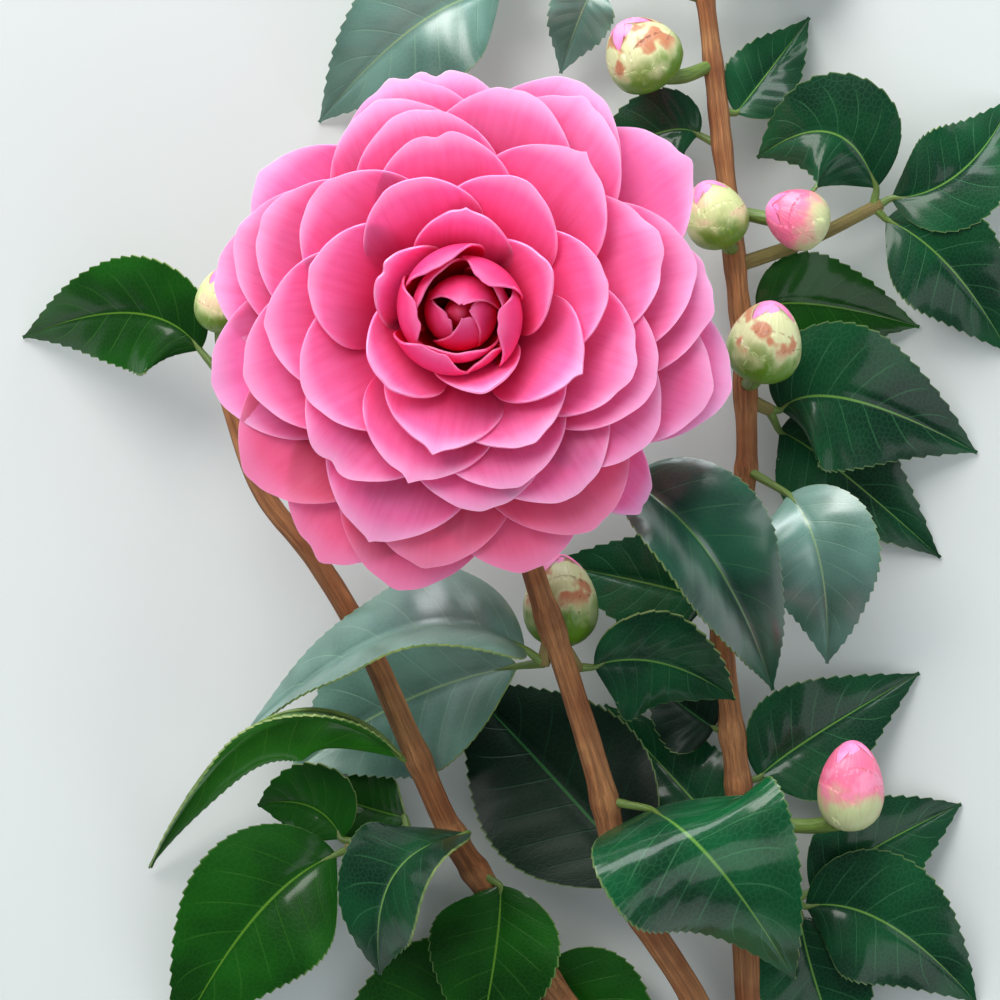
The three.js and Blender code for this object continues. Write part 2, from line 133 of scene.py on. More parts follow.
SPRAYS = {
    "spray_left_shoulder": spray_on(
        "bloom_stem", 0.535,
        leaf_at(
            (4.5, -27.5, 37), (-18.5, -24.5, 40), (-48.2, -44, 11), 27,
            roll=(60, 60), fold=0.6, broadest=0.65, look="painted_sheen",
        ),
        leaf_at((3, -31, 28), (-19, -38.5, 8), (-40, -52.3, 4), 30, roll=(8, 12), look="painted_sheen"),
        twig=[(8, -30.5, 34.5)],
    ),
    "spray_right_shoulder": spray_on(
        "bloom_stem", 0.535,
        leaf_at((17.5, -31, 31), (30, -30.5, 28), (44, -37.5, 20), 26, roll=(36, 40), broadest=0.7),
        twig=[(14.5, -31.5, 32)],
    ),
    "leaf_front": spray_on(
        "bloom_stem", 0.345,
        leaf_at(
            (28, -57.5, 30), (39.3, -66.5, 41.5), (55.5, -90.5, 15), 40,
            roll=(-61, 36), fold=-0.1, broadest=0.65, look="lush",
        ),
    ),
    "leaf_behind": spray_on(
        "bloom_stem", 0.255,
        leaf_at((27.5, -72, 17), (10, -52.5, 10), (-7, -34.6, 6), 34, look="shaded"),
    ),
    "leaf_arching": spray_on(
        "left_stem", 0.48,
        leaf_at(
            (-18.4, -48.4, 20), (-42.9, -41.4, 28), (-66.6, -70, 3), 15,
            roll=(-56, -56), fold=1.3, look="backlit",
        ),
    ),
    "spray_lower_left": spray_on(
        "left_stem", 0.39,
        leaf_at((-31, -67, 11.5), (-46.5, -79, 13), (-62, -104, 1), 29, look="fresh"),
        leaf_at(
            (-30, -64, 12), (-36, -58, 11), (-46, -58, 6), 19,
            roll=(-20, -20), spring=0.8, look="fresh",
        ),
        leaf_at((-18, -60, 11), (-25, -58.5, 5), (-36, -55, 1), 15, spring=0.4, look="fresh"),
        twig=[(-19, -64, 14), (-29, -66, 12)],
    ),
    "leaf_left_front": spray_on(
        "left_stem", 0.385,
        leaf_at((-6, -62.5, 21), (-20, -70, 27), (-22.7, -89.7, 12), 28, roll=(83, 20)),
    ),
    "leaf_low_centre": spray_on(
        "left_stem", 0.32,
        leaf_at((0, -72.5, 17), (-1, -86, 16), (-5, -108, 9), 25, roll=(15, 10), look="fresh"),
    ),
    "spray_fork": spray_on(
        "left_stem", 0.22,
        leaf_at((8, -90, 8), (17, -99, 5.5), (28, -123, 1), 25, look="fresh"),
        leaf_at((2, -92, 7), (-14, -98, 4), (-36, -113, 1), 27, look="fresh"),
        twig=[(6, -90, 8)],
    ),
    "spray_under_bloom": spray_on(
        "bloom_stem", 0.72,
        leaf_at(
            (24, 3.7, 41), (39.5, -11.4, 43), (51.4, -35.8, 15), 23,
            roll=(-24, -20), fold=1.1, broadest=0.7, look="bright",
        ),
        twig=[(14, 3, 41), (22, 5, 41)],
    ),
    "leaf_right_hanging": spray_on(
        "right_stem", 0.63,
        leaf_at((54, 1, 23), (59.5, -11, 28), (62, -31, 8), 23, roll=(0, 10), look="painted_sheen"),
    ),
    "spray_right_middle": spray_on(
        "right_stem", 0.69,
        leaf_at((53, 17, 11), (66, 19, 13), (91, 9, 1), 28),
        leaf_at((53, 13, 8), (64, 6, 6), (84, -11, 1), 22),
        twig=[(51, 17, 12)],
    ),
    "leaf_right_upper": spray_on(
        "right_stem", 0.745,
        leaf_at((48.5, 36, 12), (60, 37, 10), (80, 33, 1), 19, look="fresh"),
    ),
    "spray_upper_right": spray_on(
        "right_stem", 0.77,
        leaf_at((71, 59, 13), (62, 69, 19), (48.5, 64.5, 14), 23),
        leaf_at((74, 57, 12), (87, 62, 13), (98, 77, 1), 19),
        leaf_at((73, 53, 12), (85, 44, 12), (97, 28, 1), 21),
        twig=[(58, 49, 13), (72, 56, 12)],
    ),
    "leaf_upper_left": spray_on(
        "right_stem", 0.835,
        leaf_at((37.5, 69, 12), (29, 69, 12), (14, 61, 3), 16),
    ),
    "leaf_upper_right": spray_on(
        "right_stem", 0.855,
        leaf_at((44.5, 73, 13), (50, 80, 10), (59, 92, 1), 14),
    ),
    "spray_tip": spray_on(
        "right_stem", 0.97,
        leaf_at((40, 107, 12.5), (53, 106, 13), (70, 113, 1), 19),
        leaf_at((37, 110, 12.5), (36, 121, 14), (29, 139, 1), 19),
        twig=[(37.5, 107, 12.5)],
    ),
    "spray_top_left": spray_on(
        "right_stem", 0.93,
        leaf_at((0, 96, 14), (-16, 89, 18), (-34.5, 72, 1), 25, look="painted_sheen"),
        leaf_at((1, 99, 14), (-7, 107, 16), (-23, 121, 1), 20, look="painted_sheen"),
        leaf_at((18, 97, 14), (15, 91, 14), (11.5, 81, 6), 12, spring=0.5, look="painted_sheen"),
        twig=[(22, 99, 14), (3, 97, 14)],
    ),
    "leaf_far_left": spray_on(
        "left_stem", 0.95,
        leaf_at((-56, 28, 25), (-69, 35, 21), (-91, 31, 1), 22, roll=(-20, -5), look="fresh"),
    ),
    "spray_lower_right": spray_on(
        "right_stem", 0.235,
        leaf_at((58, -77, 9), (73, -80, 11), (91, -96, 1), 25),
        leaf_at((57, -79, 8), (60, -92, 8), (68, -114, 1), 22),
        leaf_at((59, -74, 9), (71, -66, 8), (88, -58, 1), 20),
        twig=[(56, -76, 9)],
    ),
    "leaf_right_low": spray_on(
        "right_stem", 0.33,
        leaf_at((49, -52.5, 10.5), (59, -45, 9), (80, -33, 1), 22),
    ),
    "leaf_between": spray_on(
        "right_stem", 0.37,
        leaf_at((40.5, -43, 11.5), (36, -40, 12), (27, -33, 6), 16, look="shaded"),
    ),
    "leaf_between_low": spray_on(
        "right_stem", 0.29,
        leaf_at((42, -63, 9), (34, -54, 7), (20, -39, 1), 20),
    ),
    "leaf_under_bloom": spray_on(
        "right_stem", 0.5,
        leaf_at((39, -19, 12), (29, -16, 12), (9, -12, 1), 20),
    ),
}
print(sum(len(spray["leaves"]) for spray in SPRAYS.values()), "leaves in", len(SPRAYS), "sprays")

# %% [markdown]
# Buds come on short stalks beside the leaves. A bud is given by its base, its tip and its width.
# `look` tells a green bud from one with blushed patches and from one that is pink all over.

# %% The buds
def bud_on(bough, at, base, tip, width, look):
    return dict(bough=bough, at=at, base=base, tip=tip, width=width, look=look)


BUDS = {
    "bud_behind_stem": bud_on("bloom_stem", 0.55, (11.5, -27.5, 29), (11, -10, 28), 13.5, "blush"),
    "bud_top": bud_on("right_stem", 0.88, (30.5, 78, 21), (22.5, 89, 26), 14, "blush"),
    "bud_upper": bud_on("right_stem", 0.78, (42.5, 47.5, 20), (38, 59.5, 24), 11.5, "green"),
    "bud_middle": bud_on("right_stem", 0.7, (48, 22, 24), (51, 37, 28), 13.5, "blush"),
    "bud_pink_upper": bud_on("right_stem", 0.8, (61, 50.5, 21), (50, 55, 25), 11, "pink"),
    "bud_pink_low": bud_on("right_stem", 0.3, (65.5, -62, 20), (66, -45, 24), 12, "pink"),
    "bud_left_tip": bud_on("left_stem", 0.985, (-51.5, 31, 31), (-51, 43, 34), 10.5, "green"),
}
print(len(BUDS), "buds")

# %% [markdown]
# ## Courses
#
# Everything on a plant follows a curve: a twig, a midrib, the middle line of a petal. A course is a
# function from a share of the way, 0 to 1, to a place. Limbs use a smooth curve through given
# places, and blades and petals a simple arch. Two directions go with each place on a course: one
# across it, level with the ground, and one square to both.

# %% Courses and the directions along them
def curve_through(points):
    """A smooth curve through places, as a function from a share of the way to a place."""
    places = [Vector(point) for point in points]
    last = len(places) - 1

    def at(share):
        reach = min(max(share, 0.0), 1.0) * last
        index = min(int(reach), last - 1)
        t = reach - index
        here, there = places[index], places[index + 1]
        before = places[index - 1] if index > 0 else 2 * here - there
        after = places[index + 2] if index + 2 <= last else 2 * there - here
        leave, arrive = (there - before) / 2, (after - here) / 2
        bend = 2 * (here - there) + leave + arrive
        sweep = 3 * (there - here) - 2 * leave - arrive
        return ((bend * t + sweep) * t + leave) * t + here

    return at


def arch(start, control, end):
    """A quadratic arch, as a function from a share of the way to a place."""
    start, control, end = Vector(start), Vector(control), Vector(end)
    return lambda t: (1 - t) ** 2 * start + 2 * t * (1 - t) * control + t * t * end


def heading(course, share, step=0.001):
    """The direction of a course at a share of the way."""
    return (course(min(share + step, 1)) - course(max(share - step, 0))).normalized()


def frame_along(tangent, roll=0.0):
    """The directions across a course and square to it, turned about it by roll."""
    side = tangent.cross(UP).normalized()
    face = side.cross(tangent)
    turn = Matrix.Rotation(roll, 3, tangent)
    return turn @ side, turn @ face


def length_of(course, parts=40):
    """How long a course is."""
    stops = [course(index / parts) for index in range(parts + 1)]
    return sum((there - here).length for here, there in zip(stops, stops[1:]))


BOUGH = {name: curve_through(limb["points"]) for name, limb in LIMBS.items()}
for name, course in BOUGH.items():
    print(f"{name}: {length_of(course):.0f} mm long")

# %% [markdown]
# ## Finishes
#
# All the finishes are procedural: they are worked out from numbers, with no pictures. These helpers
# keep the node trees short to write. `add` makes a node and links or sets its inputs, `blend` mixes
# two colours by a mask, `calc` does sums, and `span` stretches a range of values to 0 to 1. `paint`
# gives a shader its colour and `relief` its fine bumps.

# %% Helpers for node trees
def rgb(red, green, blue):
    """A colour by its screen values, 0 to 255, in the linear values that shaders use."""
    linear = [((c / 255 + 0.055) / 1.055) ** 2.4 if c > 10 else c / 255 / 12.92 for c in (red, green, blue)]
    return (*linear, 1.0)


def fill(tree, node, inputs):
    """A node whose inputs are linked where a socket is given, and set where a value is."""
    for key, value in inputs.items():
        if isinstance(value, bpy.types.NodeSocket):
            tree.links.new(value, node.inputs[key])
        else:
            node.inputs[key].default_value = value
    return node


def add(tree, kind, inputs=None, **settings):
    """A node of a kind, with its settings made and its inputs filled."""
    node = tree.nodes.new("ShaderNode" + kind)
    for key, value in settings.items():
        setattr(node, key, value)
    return fill(tree, node, inputs or {})


def blend(tree, mask, one, other):
    """One colour where the mask is 0 and the other where it is 1."""
    return add(tree, "Mix", {0: mask, 6: one, 7: other}, data_type="RGBA").outputs[2]


def calc(tree, operation, *values):
    return add(tree, "Math", dict(enumerate(values)), operation=operation).outputs[0]


def times(tree, one, other):
    return calc(tree, "MULTIPLY", one, other)


def inverse(tree, mask):
    return calc(tree, "SUBTRACT", 1.0, mask)


def span(tree, value, low, high):
    """0 below low and 1 above high, with a soft step between."""
    inputs = {"Value": value, "From Min": low, "From Max": high}
    return add(tree, "MapRange", inputs, interpolation_type="SMOOTHSTEP").outputs[0]


def new_group(name, inputs, outputs):
    """A node group with its sockets, and its own input and output nodes."""
    group = bpy.data.node_groups.new(name, "ShaderNodeTree")
    for label, kind in inputs:
        group.interface.new_socket(label, in_out="INPUT", socket_type="NodeSocket" + kind)
    for label in outputs:
        group.interface.new_socket(label, in_out="OUTPUT", socket_type="NodeSocketFloat")
    return group, group.nodes.new("NodeGroupInput"), group.nodes.new("NodeGroupOutput")


def use(tree, group, inputs):
    """A group placed in a tree, with its inputs filled."""
    node = tree.nodes.new("ShaderNodeGroup")
    node.node_tree = group
    return fill(tree, node, inputs)


def new_material(name, **constants):
    """A material with its Principled shader, some of whose sockets are given constant values."""
    material = bpy.data.materials.new(name)
    material.use_nodes = True
    shader = material.node_tree.nodes["Principled BSDF"]
    for label, value in constants.items():
        shader.inputs[label.replace("_", " ")].default_value = value
    return material, material.node_tree, shader


def paint(tree, shader, colour):
    tree.links.new(colour, shader.inputs["Base Color"])


def relief(tree, shader, height, depth):
    """Feeds a bump of a height map to a shader. The depth is in millimetres."""
    bump = add(tree, "Bump", {"Height": height, "Strength": 1.0, "Distance": depth * MM})
    tree.links.new(bump.outputs[0], shader.inputs["Normal"])


print("helpers ready")

# %% [markdown]
# Bark, petals, stalks and bud scales all show fine threads that run along them. One group makes them:
# it takes a place whose third axis runs with the threads, squeezes that axis so that spots of noise
# are drawn out into streaks, and puts out how dark a thread it has met. A second group gives slow,
# cloudy changes of tone, so that no two leaves are the same green.

# %% Shared effects: threads and clouding
THREADS, given, out = new_group(
    "threads", [("Place", "Vector"), ("Fineness", "Float"), ("Stretch", "Float")], ["Threads"]
)
parts = add(THREADS, "SeparateXYZ", {0: given.outputs["Place"]})
drawn = calc(THREADS, "DIVIDE", parts.outputs[2], given.outputs["Stretch"])
squeezed = add(THREADS, "CombineXYZ", {0: parts.outputs[0], 1: parts.outputs[1], 2: drawn})
spots = add(
    THREADS, "TexNoise",
    {"Vector": squeezed.outputs[0], "Scale": given.outputs["Fineness"], "Detail": 4.0, "Roughness": 0.6},
)
THREADS.links.new(span(THREADS, spots.outputs[0], 0.36, 0.66), out.inputs["Threads"])

CLOUDING, given, out = new_group("clouding", [("Size in mm", "Float")], ["Clouds"])
place = add(CLOUDING, "TexCoord").outputs["Object"]
scale = calc(CLOUDING, "DIVIDE", 1 / MM, given.outputs["Size in mm"])
clouds = add(CLOUDING, "TexNoise", {"Vector": place, "Scale": scale, "Detail": 2.0})
CLOUDING.links.new(span(CLOUDING, clouds.outputs[0], 0.3, 0.7), out.inputs["Clouds"])


def place_on(tree):
    """The piece's own place, 0 to 1 both ways."""
    return add(tree, "UVMap", uv_map="UVMap").outputs[0]


def grain_of(tree):
    return add(tree, "Attribute", attribute_name="grain").outputs["Vector"]


def threads_in(tree, place, fineness, stretch):
    return use(tree, THREADS, {"Place": place, "Fineness": fineness, "Stretch": stretch}).outputs[0]


def clouds_in(tree, size):
    return use(tree, CLOUDING, {"Size in mm": size}).outputs[0]


print("groups:", ", ".join(group.name for group in bpy.data.node_groups))

# %% [markdown]
# ## Making and finishing a mesh
#
# Pieces are shaped in millimetres on the plan and brought into the frame as their last step. Every
# piece starts as a flat grid, because a grid keeps a tidy layout: its columns run along a blade and
# its rows across it. `spread` bends a grid by a rule, `thicken` gives an open sheet a back and a rim,
# `close_up` seals one that has been rolled up, and `finish_piece` hands the piece over to the frame.

# %% Sheets, shells and pieces
WELD = 0.001  # points this close are one


def grid(columns, rows):
    """A flat sheet of cells whose own place, 0 to 1 both ways, is kept as a UV map."""
    bm = bmesh.new()
    layer = bm.loops.layers.uv.new("UVMap")
    bm.verts.layers.float_vector.new("grain")
    bmesh.ops.create_grid(bm, x_segments=columns, y_segments=rows, size=1)
    for face in bm.faces:
        face.smooth = True
        for loop in face.loops:
            loop[layer].uv = ((loop.vert.co.x + 1) / 2, (loop.vert.co.y + 1) / 2)
    return bm


def spread(bm, rule):
    """Moves each point of a grid to where a rule puts it. u runs from -1 to 1, and v from 0 to 1."""
    for vert in bm.verts:
        vert.co = rule(vert.co.x, (vert.co.y + 1) / 2)


def thicken(bm, thickness, back=1, rim=2):
    """Gives an open sheet a back, below it, and closes it round its rim."""
    bm.normal_update()
    front = set(bm.faces)
    grown = bmesh.ops.extrude_face_region(bm, geom=bm.faces[:], use_keep_orig=True)["geom"]
    behind = {item for item in grown if isinstance(item, bmesh.types.BMFace)}
    for vert in grown:
        if isinstance(vert, bmesh.types.BMVert):
            vert.co = vert.co - vert.normal * thickness
    for face in bm.faces:
        if face in behind:
            face.material_index = back
        elif face not in front:
            face.material_index = rim
    for edge in bm.edges:
        if len({face.material_index for face in edge.link_faces}) > 1:
            edge.smooth = False
    # The extrusion adds its faces in no fixed order, so they are put in the order of their points.
    bm.verts.index_update()
    count = len(bm.verts)
    corners = {face: [vert.index for vert in face.verts] for face in bm.faces}
    bm.faces.sort(key=lambda face: min(corners[face]) * count + max(corners[face]))
    bmesh.ops.recalc_face_normals(bm, faces=bm.faces[:])


def close_up(bm, material=0):
    """Welds the seam of a rolled sheet, fills its open ends and turns its faces outwards."""
    bmesh.ops.remove_doubles(bm, verts=bm.verts[:], dist=WELD)
    bmesh.ops.holes_fill(bm, edges=[edge for edge in bm.edges if edge.is_boundary], sides=0)
    for face in bm.faces:
        face.material_index = material
    bmesh.ops.recalc_face_normals(bm, faces=bm.faces[:])


def tube(course, radius_at, sides, steps, material=0):
    """A closed limb round a course. The grain kept on it runs round the limb and along it, in mm."""
    bm = grid(sides, steps)
    grain = bm.verts.layers.float_vector["grain"]
    length = length_of(course)
    side = frame_along(heading(course, 0))[0]
    stations = []
    for step in range(steps + 1):
        ahead = heading(course, step / steps)
        side = (side - ahead * side.dot(ahead)).normalized()
        stations.append((course(step / steps), side, side.cross(ahead)))
    for vert in bm.verts:
        step = round((vert.co.y + 1) / 2 * steps)
        angle = -math.pi * vert.co.x
        here, across, face = stations[step]
        out = across * math.cos(angle) + face * math.sin(angle)
        radius = radius_at(step / steps, angle)
        vert[grain] = (radius * math.cos(angle), radius * math.sin(angle), length * step / steps)
        vert.co = here + out * radius
    close_up(bm, material)
    return bm


def merged(sheets):
    """Several meshes in one."""
    whole = sheets[0]
    for sheet in sheets[1:]:
        spare = bpy.data.meshes.new("spare")
        sheet.to_mesh(spare)
        sheet.free()
        whole.from_mesh(spare)
        bpy.data.meshes.remove(spare)
    return whole


def finish_piece(name, bm, materials, nodes):
    """Brings a mesh into the frame as a piece that stands for some of the solids."""
    for vert in bm.verts:
        vert.co = in_frame(vert.co)
    mesh = bpy.data.meshes.new(name)
    bm.to_mesh(mesh)
    bm.free()
    piece = bpy.data.objects.new(name, mesh)
    bpy.context.scene.collection.objects.link(piece)
    for material in materials:
        mesh.materials.append(material)
    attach(piece, "root")
    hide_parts(*nodes)


print("ready to build pieces")

# %% [markdown]
# ## Bark
#
# The wood is a few years old: a thin tan skin that has split lengthwise into fine, dark cracks as the
# twig grew fatter. The large cracks and the swellings under each leaf are in the mesh, so that they
# show on the outline. The fine ones are in the finish. Both follow the grain that the tube keeps.

# %% The bark's finish
def bark_material(name, dark, mid, pale):
    material, tree, shader = new_material(name, Roughness=0.72)
    grain = grain_of(tree)
    cracks = threads_in(tree, grain, 1.3, 30.0)
    fine = threads_in(tree, grain, 4.2, 34.0)
    clouds = clouds_in(tree, 9.0)
    body = blend(tree, clouds, mid, pale)
    split = blend(tree, times(tree, cracks, 0.5), body, dark)
    whole = blend(tree, times(tree, fine, 0.25), split, dark)
    paint(tree, shader, whole)
    depth = calc(tree, "ADD", cracks, times(tree, fine, 0.5))
    relief(tree, shader, times(tree, depth, -1.0), 0.25)
    return material


BARK = bark_material("bark", rgb(78, 40, 18), rgb(160, 96, 50), rgb(192, 134, 82))
TWIG_BARK = bark_material("young_bark", rgb(96, 74, 38), rgb(134, 130, 66), rgb(156, 140, 84))
CUT_WOOD, tree, shader = new_material("cut_wood", Roughness=0.8)
grain = grain_of(tree)
flat = add(tree, "VectorMath", {0: grain, 1: (1.0, 1.0, 0.0)}, operation="MULTIPLY").outputs[0]
from_pith = add(tree, "VectorMath", {0: flat}, operation="LENGTH").outputs["Value"]
rings = calc(tree, "SINE", times(tree, from_pith, 7.0))
wood = blend(tree, span(tree, rings, -1.0, 1.0), rgb(214, 196, 150), rgb(190, 164, 112))
under_bark = blend(tree, span(tree, from_pith, 3.5, 3.9), wood, rgb(128, 138, 70))
paint(tree, shader, under_bark)
print("bark finishes ready")

# %% [markdown]
# A limb is a tube whose radius shrinks evenly from its foot to its tip. Where a leaf or a bud springs
# from it, it swells a little, as wood does round a joint. Slow noise that is drawn out along the limb
# cuts the larger cracks.

# %% The limbs' meshes
SWELL = 0.17  # how much fatter a limb is at a joint, and over what length
SWELL_LENGTH = 2.2
MOST_SWELL = 1.2  # where joints lie close together
CRACK = 0.07
CRACK_LENGTH = 11
CRACKS_ROUND = 1.9
FINER = 2.3  # the second layer of cracks is this much finer, and half as deep
LIMB_SIDES = 28
LIMB_STEP = 1.3


def joints_on(bough):
    """Where leaves and buds spring from a bough, as shares of the way along it."""
    return [item["at"] for item in (*SPRAYS.values(), *BUDS.values()) if item["bough"] == bough]


def limb_radius(name):
    first, last = LIMBS[name]["radius"]
    length = length_of(BOUGH[name])
    joints = joints_on(name)

    def radius_at(share, angle):
        radius = first + (last - first) * share
        swell = sum(math.exp(-(((share - joint) * length / SWELL_LENGTH) ** 2)) for joint in joints)
        around = (math.cos(angle) * CRACKS_ROUND, math.sin(angle) * CRACKS_ROUND)
        spot = Vector((*around, share * length / CRACK_LENGTH))
        crack = noise.noise(spot) + 0.5 * noise.noise(spot * FINER)
        return radius * (1 + SWELL * min(swell, MOST_SWELL) + CRACK * crack)

    return radius_at


for name, course in BOUGH.items():
    limb = tube(course, limb_radius(name), LIMB_SIDES, round(length_of(course) / LIMB_STEP))
    if name == "main_stem":
        everything = limb.verts[:] + limb.edges[:] + limb.faces[:]
        bmesh.ops.bisect_plane(
            limb, geom=everything, plane_co=(0, CUT_Y, 0), plane_no=(0, -1, 0), clear_outer=True
        )
        rim = [edge for edge in limb.edges if edge.is_boundary]
        cut_face = bmesh.ops.holes_fill(limb, edges=rim, sides=0)["faces"]
        for face in cut_face:
            face.material_index = 1
            face.smooth = False
    print(name, len(limb.faces), "faces")
    finish_piece(name + "_bark", limb, [BARK, CUT_WOOD], [name])

# %% [markdown]
# ## Leaves
#
# A camellia leaf is a stiff, waxed blade. Its midrib is a pale green groove above and a round ridge
# below, side veins leave it in a forward sweep, and between them lies a fine net. The blade bulges
# a little between the veins, and its edge carries small forward-pointing teeth. One group works out
# the veins from the blade's own UV map: across is 0 to 1 with the midrib at a half, and along is 0
# at the stalk and 1 at the tip. The mesh uses the same sums, so grooves and colours fall together.

# %% The veins of a leaf
VEIN_PAIRS = 8
VEIN_SWEEP = 0.17

VEINS, given, out = new_group("leaf_veins", [("Place", "Vector")], ["Midrib", "Side veins", "Net", "Edge"])
parts = add(VEINS, "SeparateXYZ", {0: given.outputs["Place"]})
offset = calc(VEINS, "SUBTRACT", parts.outputs[0], 0.5)
across = times(VEINS, calc(VEINS, "ABSOLUTE", offset), 2.0)
VEINS.links.new(inverse(VEINS, span(VEINS, across, 0.006, 0.026)), out.inputs["Midrib"])
swept = calc(VEINS, "SUBTRACT", parts.outputs[1], times(VEINS, across, VEIN_SWEEP))
other_half = calc(VEINS, "GREATER_THAN", offset, 0.0)
turn = calc(VEINS, "ADD", times(VEINS, swept, float(VEIN_PAIRS)), times(VEINS, other_half, 0.5))
from_vein = calc(VEINS, "PINGPONG", turn, 0.5)
fading = inverse(VEINS, span(VEINS, across, 0.55, 0.95))
on_vein = inverse(VEINS, span(VEINS, from_vein, 0.008, 0.045))
VEINS.links.new(times(VEINS, on_vein, fading), out.inputs["Side veins"])
stretched = add(VEINS, "VectorMath", {0: given.outputs["Place"], 1: (20.0, 44.0, 1.0)}, operation="MULTIPLY")
cells = add(
    VEINS, "TexVoronoi", {"Vector": stretched.outputs[0], "Scale": 1.0},
    feature="DISTANCE_TO_EDGE", voronoi_dimensions="2D",
)
VEINS.links.new(inverse(VEINS, span(VEINS, cells.outputs["Distance"], 0.02, 0.16)), out.inputs["Net"])
VEINS.links.new(span(VEINS, across, 0.975, 0.998), out.inputs["Edge"])
print("veins:", VEIN_PAIRS, "pairs")

# %% [markdown]
# The upper side is dark green under clear wax: a smooth coat over a slightly rough body gives the
# hard bright reflections. The underside is duller and paler, with the net standing out. The edge is a
# thin straw-coloured line that runs along the teeth.

# %% The leaf's finishes
def leaf_top(name, deep, fresh, vein, rib, coat=0.5, index=1.5, blur=0.17):
    """The upper side of a leaf. Coat is its wax, index how strongly it mirrors, blur how softly."""
    material, tree, shader = new_material(
        name, Roughness=0.5, Coat_Weight=coat, Coat_IOR=index, Coat_Roughness=blur, Specular_IOR_Level=0.2
    )
    place = place_on(tree)
    veins = use(tree, VEINS, {"Place": place})
    clouds = clouds_in(tree, 16.0)
    body = blend(tree, clouds, deep, fresh)
    netted = blend(tree, times(tree, veins.outputs["Net"], 0.13), body, vein)
    veined = blend(tree, times(tree, veins.outputs["Side veins"], 0.4), netted, vein)
    ribbed = blend(tree, times(tree, veins.outputs["Midrib"], 0.85), veined, rib)
    edged = blend(tree, times(tree, veins.outputs["Edge"], 0.5), ribbed, rgb(120, 146, 84))
    paint(tree, shader, edged)
    grooves = calc(
        tree, "ADD", veins.outputs["Side veins"], times(tree, veins.outputs["Net"], 0.25)
    )
    relief(tree, shader, times(tree, grooves, -1.0), 0.06)
    return material


def leaf_under(name, body_colour, vein):
    material, tree, shader = new_material(name, Roughness=0.52)
    place = place_on(tree)
    veins = use(tree, VEINS, {"Place": place})
    clouds = clouds_in(tree, 12.0)
    body = blend(tree, times(tree, clouds, 0.4), body_colour, vein)
    net = calc(tree, "ADD", veins.outputs["Side veins"], times(tree, veins.outputs["Net"], 0.4))
    paint(tree, shader, blend(tree, times(tree, net, 0.6), body, vein))
    relief(tree, shader, net, 0.08)
    return material


DARK = rgb(2, 46, 27), rgb(4, 74, 38), rgb(54, 118, 72), rgb(104, 152, 62)
# Painted sheen: pale blue-grey veins for the few leaves whose wax mirrors the light.
PAINTED_SHEEN_VEINS = rgb(126, 168, 140), rgb(150, 184, 130)
# Painted shade: these very dark greens darken the leaves that lie in shadow under the others.
PAINTED_SHADE = rgb(2, 22, 14), rgb(4, 36, 20), rgb(20, 64, 38), rgb(40, 98, 44)
LEAF_TOPS = {
    "dark": leaf_top("leaf_dark", *DARK),
    "lush": leaf_top("leaf_lush", rgb(0, 54, 28), rgb(2, 90, 46), rgb(60, 128, 80), DARK[3], 0.7, 1.5, 0.13),
    "bright": leaf_top("leaf_bright", rgb(14, 62, 48), rgb(28, 92, 66), *DARK[2:], 1.0, 1.9, 0.3),
    # Painted sheen: a pale blue-grey body, with pale veins, stands for the light that these leaves' wax
    # mirrors.
    "painted_sheen": leaf_top("leaf_painted_sheen", rgb(64, 108, 94), rgb(104, 148, 134), *PAINTED_SHEEN_VEINS, 1.0, 2.0, 0.35),
    "shaded": leaf_top("leaf_shaded", *PAINTED_SHADE, 0.12, 1.4, 0.25),
    # Painted light: a fresher yellow-green stands for light shining through leaves that have light behind
    # them.
    "fresh": leaf_top("leaf_fresh", rgb(4, 58, 3), rgb(14, 84, 5), rgb(46, 108, 18), rgb(92, 140, 36)),
    # Painted light: the arching leaf is painted a brighter yellow-green for the light shining through it.
    "backlit": leaf_top("leaf_backlit", rgb(20, 92, 4), rgb(38, 122, 8), rgb(80, 140, 30), rgb(124, 170, 56)),
}
LEAF_UNDER = leaf_under("leaf_under", rgb(74, 118, 66), rgb(132, 166, 104))
LEAF_RIM, tree, shader = new_material("leaf_edge", Roughness=0.5)
threads = clouds_in(tree, 3.0)
paint(tree, shader, blend(tree, threads, rgb(104, 132, 66), rgb(140, 158, 88)))
STALK, tree, shader = new_material("leaf_stalk", Roughness=0.42)
grain = grain_of(tree)
lines = threads_in(tree, grain, 2.6, 10.0)
paint(tree, shader, blend(tree, lines, rgb(106, 134, 58), rgb(84, 106, 46)))
relief(tree, shader, lines, 0.05)
print("leaf finishes ready")

# %% [markdown]
# A blade is a grid with four rows to each tooth. The width follows part of a sine wave, widest below
# the middle. Each half rises from the midrib in a curve that flattens towards the edge. Only the
# outermost column steps out and forward for the teeth, so they stay crisp.

# %% The shape of a blade
LEAF_TIP = 0.35
BLADE_THICK = 0.42
BLADE_COLUMNS = 16
BROADEST = 0.8  # below 1, the widest place moves towards the stalk
FOLD = 0.3
TOOTH_PITCH = 2.0
TOOTH_DEPTH = 0.42
TOOTH_LEAN = 0.8
TOOTH_ROWS = 4
FEWEST_TEETH = 12
TOOTHED = (0.07, 0.97)  # where along the blade the teeth start and end
NARROW = 4  # a half blade narrower than this has smaller teeth
QUILT = 0.08
WAVE = 0.6
WAVES = 2.3
GROOVE = 0.3
GROOVE_FADE = 8


def half_width(leaf, v):
    """Half the width of a leaf's blade at a share of its length."""
    return max(LEAF_TIP, leaf["width"] / 2 * math.sin(math.pi * v ** leaf.get("broadest", BROADEST)))


def midrib_of(leaf):
    base, over, tip = (Vector(leaf[key]) for key in ("base", "over", "tip"))
    return arch(base, 2 * over - (base + tip) / 2, tip)


